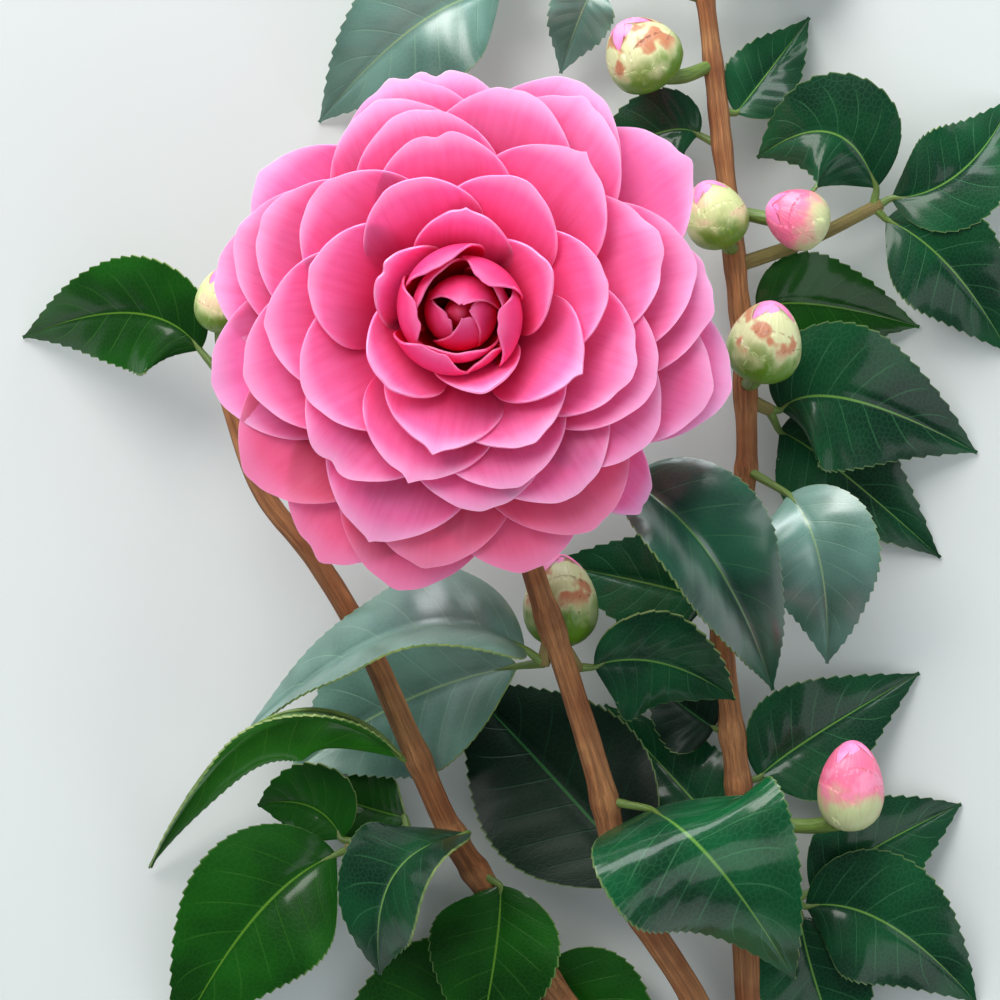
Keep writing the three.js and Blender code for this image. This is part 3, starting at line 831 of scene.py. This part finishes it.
def blade(leaf, luck):
    """The blade of a leaf: a thin sheet with teeth, a groove and a bulge between each two veins."""
    midrib = midrib_of(leaf)
    roll = leaf.get("roll", (0, 0))
    fold = leaf.get("fold", FOLD)
    rows = TOOTH_ROWS * max(FEWEST_TEETH, round(length_of(midrib) / TOOTH_PITCH))
    phase = [luck.uniform(0, math.tau), luck.uniform(0, math.tau)]
    frames = []
    for row in range(rows + 1):
        v = row / rows
        ahead = heading(midrib, v)
        turned = math.radians(roll[0] + (roll[1] - roll[0]) * v)
        frames.append((midrib(v), ahead, *frame_along(ahead, turned)))

    def rule(u, v):
        row = round(v * rows)
        here, ahead, side, face = frames[row]
        half = half_width(leaf, v)
        a = abs(u)
        turn = VEIN_PAIRS * (v - VEIN_SWEEP * a) + (0.5 if u > 0 else 0)
        bulge = -QUILT * math.cos(math.tau * turn) * 4 * a * (1 - a) * math.sin(math.pi * v)
        wave = WAVE * math.sin(WAVES * math.tau * v + phase[u > 0]) * a**3 * math.sin(math.pi * v)
        dip = -GROOVE * (a < 0.01) * min(1, GROOVE_FADE * (1 - v))
        rise = half * fold * (a - 0.5 * a * a) + bulge + wave + dip
        toothed = a > 0.99 and TOOTHED[0] < v < TOOTHED[1]
        rise_of_tooth = TOOTH_DEPTH * (row % TOOTH_ROWS) / (TOOTH_ROWS - 1)
        tooth = rise_of_tooth * min(1, half / NARROW) if toothed else 0
        return here + side * math.copysign(half * a + tooth, u) + face * rise + ahead * tooth * TOOTH_LEAN

    bm = grid(BLADE_COLUMNS, rows)
    spread(bm, rule)
    thicken(bm, BLADE_THICK)
    return bm


STALK_WIDE = 0.95  # the stalk's radius at its foot
RIDGE_WIDE = 0.62  # the ridge's radius where the blade begins
RIDGE_THIN = 0.75  # how much of that the ridge has lost at its end
RIDGE_STOPS = [stop / 12 for stop in range(1, 11)]
RIDGE_SINKS = 0.12  # the share of the blade in which the ridge sinks below it
RIDGE_CLEAR = 0.2


def stalk(leaf, foot):
    """The stalk of a leaf, which runs on below the blade as the ridge of its midrib."""
    midrib = midrib_of(leaf)
    roll = leaf.get("roll", (0, 0))
    stops = [foot, foot.lerp(Vector(leaf["base"]), 0.5), Vector(leaf["base"])]
    ridge_from = 2 / (len(stops) + len(RIDGE_STOPS) - 1)

    def radius_at(share, angle=0):
        if share < ridge_from:
            return STALK_WIDE + (RIDGE_WIDE - STALK_WIDE) * share / ridge_from
        return RIDGE_WIDE * (1 - RIDGE_THIN * (share - ridge_from) / (1 - ridge_from))

    for number, v in enumerate(RIDGE_STOPS, 3):
        face = frame_along(heading(midrib, v), math.radians(roll[0] + (roll[1] - roll[0]) * v))[1]
        deep = GROOVE + RIDGE_CLEAR + radius_at(number / (len(RIDGE_STOPS) + 2))
        stops.append(midrib(v) - face * deep * min(1, v / RIDGE_SINKS))
    return tube(curve_through(stops), radius_at, 10, 4 * len(stops), material=3)


print("a blade has", BLADE_COLUMNS, "columns and four rows to a tooth")

# %% [markdown]
# Each leaf is a piece of its own, with its stalk. A side twig, where there is one, is a piece too.

# %% Build the sprays
LEAF_FROM = 0.95
STALK_RADIUS = 1.2
TWIG_SWELL = 1.2

for name, spray in SPRAYS.items():
    foot = BOUGH[spray["bough"]](spray["at"])
    twig = curve_through([foot, *spray.get("twig", [foot])])
    if "twig" in spray:
        taper = lambda share, angle: STALK_RADIUS * (TWIG_SWELL + (1 - TWIG_SWELL) * share)
        wood = tube(twig, taper, 14, 12 * len(spray["twig"]))
        finish_piece(name + "_twig", wood, [TWIG_BARK], [name])
    for number, leaf in enumerate(spray["leaves"], 1):
        luck = random.Random(f"{name} {number}")
        body = merged([blade(leaf, luck), stalk(leaf, twig(leaf.get("spring", LEAF_FROM)))])
        top = LEAF_TOPS[leaf.get("look", "dark")]
        finish_piece(f"{name}_blade_{number}", body, [top, LEAF_UNDER, LEAF_RIM, STALK], [name])

# %% [markdown]
# ## The flower
#
# A formal double camellia has no stamens in view. Its petals lie like tiles, ring over ring, and the
# ones in the middle stay closed. Each petal here keeps its own reach and direction, so that the
# rings are as uneven as a grown flower's. A petal's middle line is an arch in the plane of the
# flower's axis: out of the receptacle, up, and over to the rim. Outer petals end lower than inner ones.

# %% The petals' places
BLOOM_AT = Vector((-7, 33.5, 47))
BLOOM_RADIUS = 51
CROWN = 38
CROWN_DROP = 22
CROWN_CURVE = 2.2
RING_DROP = 3
PETAL_FULL_WIDTH = 34
PETAL_WIDENING = 22
PETAL_BELLY = 0.62
BELLY_LIFT = 6
BELLY_DIP = 28
BELLY_REACH = 18
HEART_RADIUS = 8
INNER_ROOT = (3, 8)
OUTER_ROOT = (7, 3)

# The free petals, ring by ring: how far each tip lies from the axis, and its direction in degrees.
RINGS = [
    [(17.8, 87), (17.5, 26), (14.8, 289), (16.0, 153), (18.8, 217)],
    [(25.4, 115), (25.8, 65), (26.6, 12), (23.2, 333), (24.6, 259), (27.8, 164)],
    [(32.6, 98), (35.3, 52), (32.6, 342), (26.4, 299), (30.6, 253), (31.3, 208), (35.0, 184), (33.8, 141)],
    [(37.4, 104), (41.6, 76), (38.0, 20), (37.1, 340), (32.6, 288), (36.5, 229), (40.5, 197), (39.6, 155)],
    [(40.9, 112), (44.5, 59), (43.2, 13), (41.1, 327), (38.7, 303), (35.6, 277), (43.2, 248), (42.9, 161)],
    [(43.8, 106), (47.4, 62), (45.8, 5), (47.4, 342), (46.1, 262), (48.5, 218), (46.8, 196), (44.2, 145)],
    [(44.7, 96), (49.8, 36), (50.7, 345), (48.1, 286), (45.6, 303), (51.0, 240), (51.0, 257), (45.2, 170)],
]
# How the rims of some petals end. The key is the ring and the petal's direction in degrees.
RIMS = {
    (1, 87): "pointed", (1, 153): "notched", (2, 333): "pointed", (2, 259): "pointed",
    (3, 98): "notched", (3, 52): "pointed", (3, 253): "pointed", (3, 342): "wavy",
    (4, 20): "wavy", (4, 229): "notched", (5, 248): "pointed", (5, 59): "wavy",
    (6, 106): "wavy", (6, 5): "wavy", (7, 96): "notched", (7, 36): "wavy", (7, 240): "wavy",
}
# Closed petals, as patches of a bud: direction, half span, widest radius, rim radius and rim height.
HEART = [
    (114, 46, 10.9, 8.2, 37), (52, 41, 10.2, 6.0, 36.6), (-14, 43, 10.7, 6.3, 36.2),
    (186, 42, 10.6, 7.0, 36), (238, 43, 11.2, 7.9, 36), (-62, 34, 9.4, 8.6, 32.6),
    (140, 66, 8.3, 6.8, 35.0), (20, 66, 8.1, 6.7, 34.2), (262, 66, 8.4, 6.9, 34.0),
    (82, 84, 6.4, 0.5, 36.6), (0, 66, 6.1, 1.2, 35.4), (296, 72, 6.3, 0.8, 35.0), (208, 68, 6.0, 1.8, 33.6),
]
CORE_RADIUS = 3.6
CORE_HEIGHT = 33


def petal_line(radius, share):
    """A petal's middle line, as three places: distance from the axis, and height."""
    root = [inner + (outer - inner) * share for inner, outer in zip(INNER_ROOT, OUTER_ROOT)]
    tip = CROWN - CROWN_DROP * (radius / BLOOM_RADIUS) ** CROWN_CURVE - RING_DROP * share
    swell = BELLY_LIFT - BELLY_DIP * math.exp(-(radius - HEART_RADIUS) / BELLY_REACH)
    return [root, (radius * PETAL_BELLY, tip + swell), (radius, tip)]


print(sum(len(ring) for ring in RINGS), "free petals in", len(RINGS), "rings, and", len(HEART), "closed ones")

# %% [markdown]
# Petals are thin and satiny, and light sinks a little way into them. They are painted deep rose at the
# base, as painted shade where they are shut in, clear pink in the open, and almost white along the rim,
# where the sheet is thinnest. Fine darker veins fan out from the base. The backs are paler than the faces.

# %% The petal's finishes
def petal_material(name, deep, clear, rim, veining):
    material, tree, shader = new_material(
        name, Roughness=0.5, Subsurface_Weight=0.6, Subsurface_Scale=0.004, Specular_IOR_Level=0.3
    )
    shader.inputs["Subsurface Radius"].default_value = (1.0, 0.4, 0.6)
    place = place_on(tree)
    parts = add(tree, "SeparateXYZ", {0: place})
    across = calc(
        tree, "MULTIPLY", calc(tree, "ABSOLUTE", calc(tree, "SUBTRACT", parts.outputs[0], 0.5)), 2.0
    )
    along = parts.outputs[1]
    grain = grain_of(tree)
    veins = threads_in(tree, grain, 0.9, 15.0)
    clouds = clouds_in(tree, 10.0)
    # Painted shade: the petal is painted deep rose towards its base, where it is shut in under its
    # neighbours, and clear pink further out.
    from_shaded_base = calc(tree, "ADD", along, times(tree, clouds, 0.08))
    body = blend(tree, span(tree, from_shaded_base, 0.3, 0.95), deep, clear)
    veined = blend(tree, times(tree, veins, veining), body, deep)
    at_tip = span(tree, along, 0.84, 1.02)
    at_side = times(tree, span(tree, across, 0.86, 1.06), span(tree, along, 0.55, 0.9))
    at_rim = times(tree, calc(tree, "MAXIMUM", at_tip, at_side), 0.62)
    paint(tree, shader, blend(tree, at_rim, veined, rim))
    relief(tree, shader, veins, 0.02)
    return material


PALE_RIM = rgb(255, 178, 220)
PETAL_FACE = petal_material("petal_face", rgb(218, 14, 76), rgb(254, 100, 156), PALE_RIM, 0.16)
PETAL_BACK = petal_material("petal_back", rgb(220, 18, 80), rgb(252, 92, 156), PALE_RIM, 0.1)
PETAL_SALMON = petal_material("petal_salmon", rgb(214, 24, 66), rgb(244, 88, 126), rgb(250, 140, 176), 0.12)
CLOSED_BACK = petal_material("petal_closed", rgb(226, 6, 60), rgb(245, 60, 120), rgb(250, 116, 164), 0.1)
# Painted shade: the faces turned into the heart are painted a deep red, the colour of the shade in its
# crevices.
CLOSED_FACE = petal_material("petal_shut_in_shade", rgb(244, 10, 48), rgb(246, 30, 80), rgb(248, 100, 146), 0.05)
PETAL_RIM, tree, shader = new_material("petal_rim", Roughness=0.5, Subsurface_Weight=0.2)
shader.inputs["Subsurface Scale"].default_value = 0.001
clouds = clouds_in(tree, 4.0)
paint(tree, shader, blend(tree, clouds, rgb(250, 120, 176), rgb(254, 156, 206)))
print("petal finishes ready")

# %% [markdown]
# The sheet's square end is drawn in to a round rim, by the sums that turn a square into a disc. A
# petal cups across, more so near the heart, and is tilted a little, so that one edge lies over its
# neighbour. Rims turn in on the inner rings and out on the outer ones, and may be pointed, notched
# or wavy.

# %% The shape of a petal
PETAL_THICK = 0.38
PETAL_COLUMNS = 22
PETAL_ROWS = 18
PETAL_FLARE = (0.35, 1.62)  # the width follows this part of a sine wave, from its start and on
SIDE_DRAW = 0.07
RIM_ROUNDNESS = 0.5
RIM_FROM = 0.8
RIM_DEEP = 0.2
TURN_IN = 0.3
TURN_OUT = 1.3
CUP_EASE = 0.4
TILT = 0.06
WAVY_RUFFLE = 2.2
RIM_RIPPLES = ((0.006, 8), (0.003, 17))  # how deep each ripple along the rim is, and how close
SHUT_RIPPLES = ((0.008, 5), (0.003, 12))
PETAL_WAVE = (0.22, 5.5)
PETAL_FOLDS = (0.05, 15)


def ripples(across, layers, starts):
    """A sum of sine waves across a petal."""
    return sum(deep * math.sin(close * across + start) for (deep, close), start in zip(layers, starts))


def rim_step(kind, a):
    """How far a rim of a kind steps out or in, as a share of the petal's length."""
    if kind == "pointed":
        return 0.035 * math.exp(-abs(a) / 0.12)
    if kind == "notched":
        return -0.045 * math.exp(-((a / 0.13) ** 2))
    return 0


def petal(line, width, degrees, share, luck, kind="plain", tilt=TILT):
    """One petal on the plan, from where it springs to its rim."""
    course = arch(*[(radius, height, 0) for radius, height in line])
    radius = max(course(stop / 20).x for stop in range(21))
    length = length_of(course)
    angle = math.radians(degrees)
    outward = Vector((math.cos(angle), math.sin(angle), 0))
    side = Vector((math.sin(angle), -math.cos(angle), 0))
    shift = [luck.uniform(0, math.tau) for _ in range(4)]
    ruffle = WAVY_RUFFLE if kind == "wavy" else 1.0
    own_grain = luck.uniform(0, 90)

    def sheet_place(u, v):
        c = max(0.0, 2 * v - 1)
        a = u * math.sqrt(1 - RIM_ROUNDNESS * c * c)
        b = v if v <= 0.5 else 0.5 + 0.5 * c * math.sqrt(1 - RIM_ROUNDNESS * u * u)
        return a, b

    def rule(u, v):
        a, b = sheet_place(u, v)
        edge = b**6 * (1 - a * a)
        ripple = ripples(a, RIM_RIPPLES, shift)
        t = b - SIDE_DRAW * a * a * b * b + edge * (ruffle * ripple + rim_step(kind, a))
        x = a * width * math.sin(PETAL_FLARE[0] + PETAL_FLARE[1] * b) / 2
        near_rim = max(0.0, (b - RIM_FROM) / RIM_DEEP)
        cup = x * x * (1 - CUP_EASE * share) / (2 * (radius + 2))
        turn_over = (TURN_IN - TURN_OUT * share) * near_rim**2
        waves = ruffle * PETAL_WAVE[0] * math.sin(PETAL_WAVE[1] * a + shift[2]) * b**4
        folds = PETAL_FOLDS[0] * math.sin(PETAL_FOLDS[1] * a + shift[3]) * b**3
        rise = cup + tilt * x + turn_over + waves + folds
        spot = course(min(t, 1.0))
        slope = heading(course, min(t, 1.0))
        spot = spot + slope * length * max(0.0, t - 1.0)
        flat = spot.x - slope.y * rise
        return BLOOM_AT + outward * flat + UP * (spot.y + slope.x * rise) + side * x

    bm = grid(PETAL_COLUMNS, PETAL_ROWS)
    grain = bm.verts.layers.float_vector["grain"]
    for vert in bm.verts:
        a, b = sheet_place(vert.co.x, (vert.co.y + 1) / 2)
        vert[grain] = (a * 12, own_grain, b * length)
    spread(bm, rule)
    thicken(bm, PETAL_THICK)
    return bm


print("a petal has", PETAL_COLUMNS, "by", PETAL_ROWS, "cells a side")

# %% [markdown]
# The petals of the heart are still closed, as in a bud. Each is a patch of that bud's round side,
# with one edge lying under its neighbour, and a small rolled core fills the middle.

# %% The closed petals and the core
LAP = 0.07
CURL = 0.5
CURL_FROM = 0.88
CURL_DEEP = 0.12
SHUT_ROOT = (2, 9, 0)  # distance from the axis, and height
BELLY_BELOW = 3
SHUT_SPAN = (0.72, 0.28)  # the share of its span that a petal has at its ends, and the rest
SHUT_ROUNDNESS = 0.2
CORE_FOOT = 12
CORE_FURROW = 0.12


def closed_petal(degrees, half_span, widest, rim_radius, rim_height, luck):
    """A petal of the shut heart: a patch of a bud, whose one side lies under its neighbour."""
    belly = 2 * widest - (SHUT_ROOT[0] + rim_radius) / 2
    course = arch(SHUT_ROOT, (belly, rim_height - BELLY_BELOW, 0), (rim_radius, rim_height, 0))
    shift = [luck.uniform(0, math.tau) for _ in range(2)]
    own_grain = luck.uniform(0, 90)

    def rule(u, v):
        span_here = SHUT_SPAN[0] + SHUT_SPAN[1] * math.sin(math.pi * v)
        angle = math.radians(degrees - half_span * u * span_here)
        ragged = ripples(u, SHUT_RIPPLES, shift)
        place = course(v * (1 - SHUT_ROUNDNESS * abs(u) ** 3.5 + ragged))
        out = place.x * (1 + LAP * u) + CURL * max(0.0, v - CURL_FROM) / CURL_DEEP
        return BLOOM_AT + Vector((out * math.cos(angle), out * math.sin(angle), place.y))

    bm = grid(PETAL_COLUMNS, PETAL_ROWS)
    grain = bm.verts.layers.float_vector["grain"]
    for vert in bm.verts:
        vert[grain] = (vert.co.x * 8, own_grain, vert.co.y * 10)
    spread(bm, rule)
    thicken(bm, PETAL_THICK)
    return bm


def heart_core():
    """The tight roll of petals that closes the middle of the heart."""
    bm = grid(24, 12)

    def rule(u, v):
        angle = math.pi * u
        furrow = 1 - CORE_FURROW * abs(math.sin(1.5 * angle + 2 * v))
        out = CORE_RADIUS * math.sqrt(max(0.0, 1 - v**4)) * furrow
        height = CORE_FOOT + (CORE_HEIGHT - CORE_FOOT) * v
        return BLOOM_AT + Vector((out * math.cos(angle), out * math.sin(angle), height))

    spread(bm, rule)
    close_up(bm)
    return bm


print("a closed petal's rim curls", CURL, "mm outwards")

# %% [markdown]
# Each ring is built as three pieces, so that hardly any petal shares its piece with a neighbour:
# the light that sinks into a petal then comes out of the same one. The small petal that hangs loose
# at the flower's lower right is folded almost shut. The lowest outer petals are more salmon.

# %% Build the flower
PETAL_MATERIALS = [PETAL_FACE, PETAL_BACK, PETAL_RIM, PETAL_SALMON]
SALMON_FROM = 6
SALMON_BELOW = -0.35
CLOSED_MATERIALS = [CLOSED_FACE, CLOSED_BACK, CLOSED_BACK]
SHUT_RING = 6  # the closed petals of the outer ring come first in the list
LOOSE_LINE = [(24, 4), (36, 12), (48.5, 8)]  # the middle line of the petal that hangs loose
LOOSE_WIDTH = 15
LOOSE_DIRECTION = 314
LOOSE_TILT = 0.5

luck = random.Random("bloom")
closed = [closed_petal(*patch, luck) for patch in HEART]
for index, ring in enumerate(RINGS, 1):
    share = index / len(RINGS)
    petals = []
    for radius, degrees in ring:
        width = PETAL_FULL_WIDTH * (1 - math.exp(-radius / PETAL_WIDENING))
        kind = RIMS.get((index, degrees), "plain")
        petals.append(petal(petal_line(radius, share), width, degrees, share, luck, kind))
        if index >= SALMON_FROM and math.sin(math.radians(degrees)) < SALMON_BELOW:
            for face in petals[-1].faces:
                face.material_index = 3 if face.material_index == 0 else face.material_index
    for part in range(3):
        name = f"petals_ring_{index + 1}_{part + 1}"
        finish_piece(name, merged(petals[part::3]), PETAL_MATERIALS, ["bloom"])
finish_piece("petals_ring_1", merged(closed[:SHUT_RING]), CLOSED_MATERIALS, ["bloom"])
heart = merged(closed[SHUT_RING:] + [heart_core()])
finish_piece("petals_heart", heart, CLOSED_MATERIALS, ["bloom"])
loose = petal(LOOSE_LINE, LOOSE_WIDTH, LOOSE_DIRECTION, 1, luck, "wavy", tilt=LOOSE_TILT)
finish_piece("petal_loose", loose, PETAL_MATERIALS, ["bloom"])
print(sum(len(ring) for ring in RINGS) + len(HEART) + 1, "petals built")

# %% [markdown]
# Behind the flower, a cup of short green sepals clasps the petals where they leave the receptacle.
# They are broad, blunt scales like a bud's, so the petals' own rule makes them, small and thick.

# %% Bud-scale finishes and the calyx
def scale_material(name, foot, body, tip, blush):
    """Bud scales: foot colours the base of the bud and body its top, with blushed patches between."""
    material, tree, shader = new_material(name, Roughness=0.38, Coat_Weight=0.15)
    place = place_on(tree)
    along = add(tree, "SeparateXYZ", {0: place}).outputs[1]
    grain = grain_of(tree)
    height = add(tree, "SeparateXYZ", {0: grain}).outputs[2]
    fanned = add(tree, "VectorMath", {0: place, 1: (14.0, 0.0, 14.0)}, operation="MULTIPLY").outputs[0]
    lines = threads_in(tree, fanned, 1.6, 8.0)
    clouds = clouds_in(tree, 4.5)
    ripe = calc(tree, "ADD", height, times(tree, clouds, 0.5))
    grown = blend(tree, span(tree, ripe, -0.35, 0.55), foot, body)
    patches = times(tree, span(tree, clouds, 0.5, 0.9), span(tree, height, -0.3, 0.1))
    patched = blend(tree, times(tree, patches, 0.8), grown, blush)
    lined = blend(tree, times(tree, lines, 0.12), patched, tip)
    ragged = calc(tree, "ADD", along, times(tree, clouds, 0.06))
    tipped = blend(tree, times(tree, span(tree, ragged, 0.95, 1.04), 0.7), lined, tip)
    paint(tree, shader, tipped)
    relief(tree, shader, lines, 0.05)
    return material


SEPAL = scale_material("sepal", rgb(84, 112, 36), rgb(132, 158, 70), rgb(120, 90, 50), rgb(150, 160, 80))
GREEN_SCALE = scale_material(
    "scale_green", rgb(100, 138, 34), rgb(206, 214, 152), rgb(132, 88, 52), rgb(226, 196, 160)
)
BLUSH_SCALE = scale_material(
    "scale_blush", rgb(92, 136, 20), rgb(214, 216, 164), rgb(112, 56, 34), rgb(186, 84, 52)
)
PINK_SCALE = scale_material(
    "scale_pink", rgb(196, 206, 150), rgb(240, 112, 150), rgb(190, 80, 96), rgb(246, 150, 182)
)
SEPALS = 7
SEPAL_WIDTH = 17
SEPAL_SHARE = 0.6  # its place between the inner rings' petals and the outer ones'
SEPAL_TILT = 0.09
GOLDEN_ANGLE = 137.5

sepals = []
for number in range(SEPALS):
    line = [(1.5, -3.2), (11.5, -3.4), (14.5 - 2 * (number % 2), 5.0 - number % 2)]
    turn = number * GOLDEN_ANGLE
    sepals.append(petal(line, SEPAL_WIDTH, turn, SEPAL_SHARE, luck, tilt=SEPAL_TILT))
finish_piece("calyx", merged(sepals), [SEPAL, SEPAL, SEPAL], ["bloom"])
print(len(sepals), "sepals")

# %% [markdown]
# ## Buds
#
# A flower bud is an egg of tightly rolled petals in a coat of overlapping scales. The lowest scales
# are short and lie outermost, and each higher whorl reaches further up from under the one below it.
# A scale is a small grid wrapped on the egg, which stands a little proud of it. On a bud that is
# nearly open, the pink petals show between the tips.

# %% The buds
BUD_TAPER = 0.14
STALK_SUNK = 2
SCALE_THICK = 0.35
SCALE_LAP = 1.45
WHORL_TURN = 2.4
FURROW = 0.05
INSIDE = 0.97  # the rolled petals' egg, as a share of the bud's
# Whorls of scales: where they start and end on the egg, from -1 to 1, their number and their lift.
WHORLS = [(-0.97, -0.3, 2, 1.09), (-0.93, 0.12, 3, 1.07), (-0.88, 0.52, 3, 1.05), (-0.75, 0.97, 3, 1.03)]
SCALE_LOOKS = {"green": GREEN_SCALE, "blush": BLUSH_SCALE, "pink": PINK_SCALE}


def egg_place(bud, y, angle, lift=1.0):
    """A place on a bud's egg: y runs from -1 at its base to 1 at its tip."""
    base, tip = Vector(bud["base"]), Vector(bud["tip"])
    axis = (tip - base).normalized()
    side, face = frame_along(axis)
    radius = bud["width"] / 2 * (1 - BUD_TAPER * y) * math.sqrt(max(0, 1 - y * y)) * lift
    along = base + (tip - base) * (y + 1) / 2
    return along + side * radius * math.cos(angle) + face * radius * math.sin(angle)


def bud_scale(bud, whorl, number, luck):
    start, end, count, lift = whorl
    middle = math.tau * (number / count + start * WHORL_TURN)
    reach = math.pi / count * SCALE_LAP
    end = min(end + luck.uniform(-0.06, 0.04), 0.985)

    def rule(u, v):
        narrowing = math.sqrt(1 - 0.62 * v**3.2)
        y = start + (end - start) * (v - 0.2 * u * u * v * v)
        loose = lift - 0.05 * v * v
        return egg_place(bud, y, middle - u * reach * narrowing, loose)

    bm = grid(10, 10)
    grain = bm.verts.layers.float_vector["grain"]
    for vert in bm.verts:
        vert[grain] = (0, 0, start + (end - start) * (vert.co.y + 1) / 2)
    spread(bm, rule)
    thicken(bm, SCALE_THICK, back=0, rim=0)
    return bm


def rolled_petals(bud):
    """The egg of petals inside the scales, with a spiral of shallow furrows."""
    bm = grid(28, 20)

    def rule(u, v):
        y = -math.cos(math.pi * v)
        furrow = 1 - FURROW * abs(math.sin(1.5 * (math.pi * u + 2.0 * v)))
        return egg_place(bud, y, -math.pi * u, INSIDE * furrow)

    spread(bm, rule)
    close_up(bm, material=1)
    return bm


for name, bud in BUDS.items():
    luck = random.Random(name)
    shell = [rolled_petals(bud)]
    for whorl in WHORLS:
        shell += [bud_scale(bud, whorl, number, luck) for number in range(whorl[2])]
    foot = BOUGH[bud["bough"]](bud["at"])
    base = Vector(bud["base"])
    seat = base + (Vector(bud["tip"]) - base).normalized() * STALK_SUNK
    route = curve_through([foot, foot.lerp(base, 0.6), seat])
    shell.append(tube(route, lambda share, angle: STALK_RADIUS * (1 + 0.4 * share), 12, 12, material=2))
    look = SCALE_LOOKS[bud["look"]]
    finish_piece(name + "_scales", merged(shell), [look, PETAL_RIM, STALK], [name])
print(len(BUDS), "buds built")

# %% [markdown]
# ## Setting
#
# The branch lies on a plain pale floor. A broad soft light stands over its tips, to the left, so that
# the leaves' wax mirrors it in streaks. A weaker one fills from the other side. The camera looks
# straight down, from just over a metre.

# %% Floor, lights and camera
FLOOR_REACH = 2.5  # metres, as all in this cell but the camera's height
scene = bpy.context.scene
floor_mesh = bmesh.new()
bmesh.ops.create_grid(floor_mesh, x_segments=1, y_segments=1, size=FLOOR_REACH)
floor_data = bpy.data.meshes.new("floor")
floor_mesh.to_mesh(floor_data)
floor_mesh.free()
floor = bpy.data.objects.new("floor", floor_data)
scene.collection.objects.link(floor)
FLOOR, tree, shader = new_material("floor", Roughness=0.9)
shader.inputs["Base Color"].default_value = rgb(196, 200, 198)
floor_data.materials.append(FLOOR)


def soft_light(name, place, size, power, tone):
    lamp = bpy.data.lights.new(name, "AREA")
    lamp.shape = "RECTANGLE"
    lamp.size, lamp.size_y = size
    lamp.energy = power
    lamp.color = tone
    light = bpy.data.objects.new(name, lamp)
    light.location = place
    light.rotation_euler = (-Vector(place)).to_track_quat("-Z", "Y").to_euler()
    scene.collection.objects.link(light)


soft_light("key", (-0.45, 0.75, 1.0), (0.9, 0.6), 14.0, (1.0, 0.98, 0.95))
soft_light("sky", (-0.15, 1.3, 0.45), (1.4, 0.7), 20.0, (0.94, 0.97, 1.0))
soft_light("fill", (0.9, -0.4, 0.8), (0.8, 0.8), 3.0, (0.93, 0.97, 1.0))
world = bpy.data.worlds.new("studio")
scene.world = world
world.use_nodes = True
world.node_tree.nodes["Background"].inputs["Color"].default_value = (0.86, 0.93, 1.0, 1.0)
world.node_tree.nodes["Background"].inputs["Strength"].default_value = 0.6
world.cycles_visibility.glossy = False
scene.view_settings.view_transform = "Standard"

CAMERA_HEIGHT = 1160  # millimetres on the plan
HALF_VIEW = 0.082273  # half the width of the view, as a share of its distance
camera_data = bpy.data.cameras.new("camera")
camera_data.sensor_width = 36
camera_data.lens = camera_data.sensor_width / 2 / HALF_VIEW
camera = bpy.data.objects.new("camera", camera_data)
camera.location = in_frame((0, 0, CAMERA_HEIGHT))
scene.collection.objects.link(camera)
scene.camera = camera
print("camera at", tuple(round(c, 3) for c in camera.location))
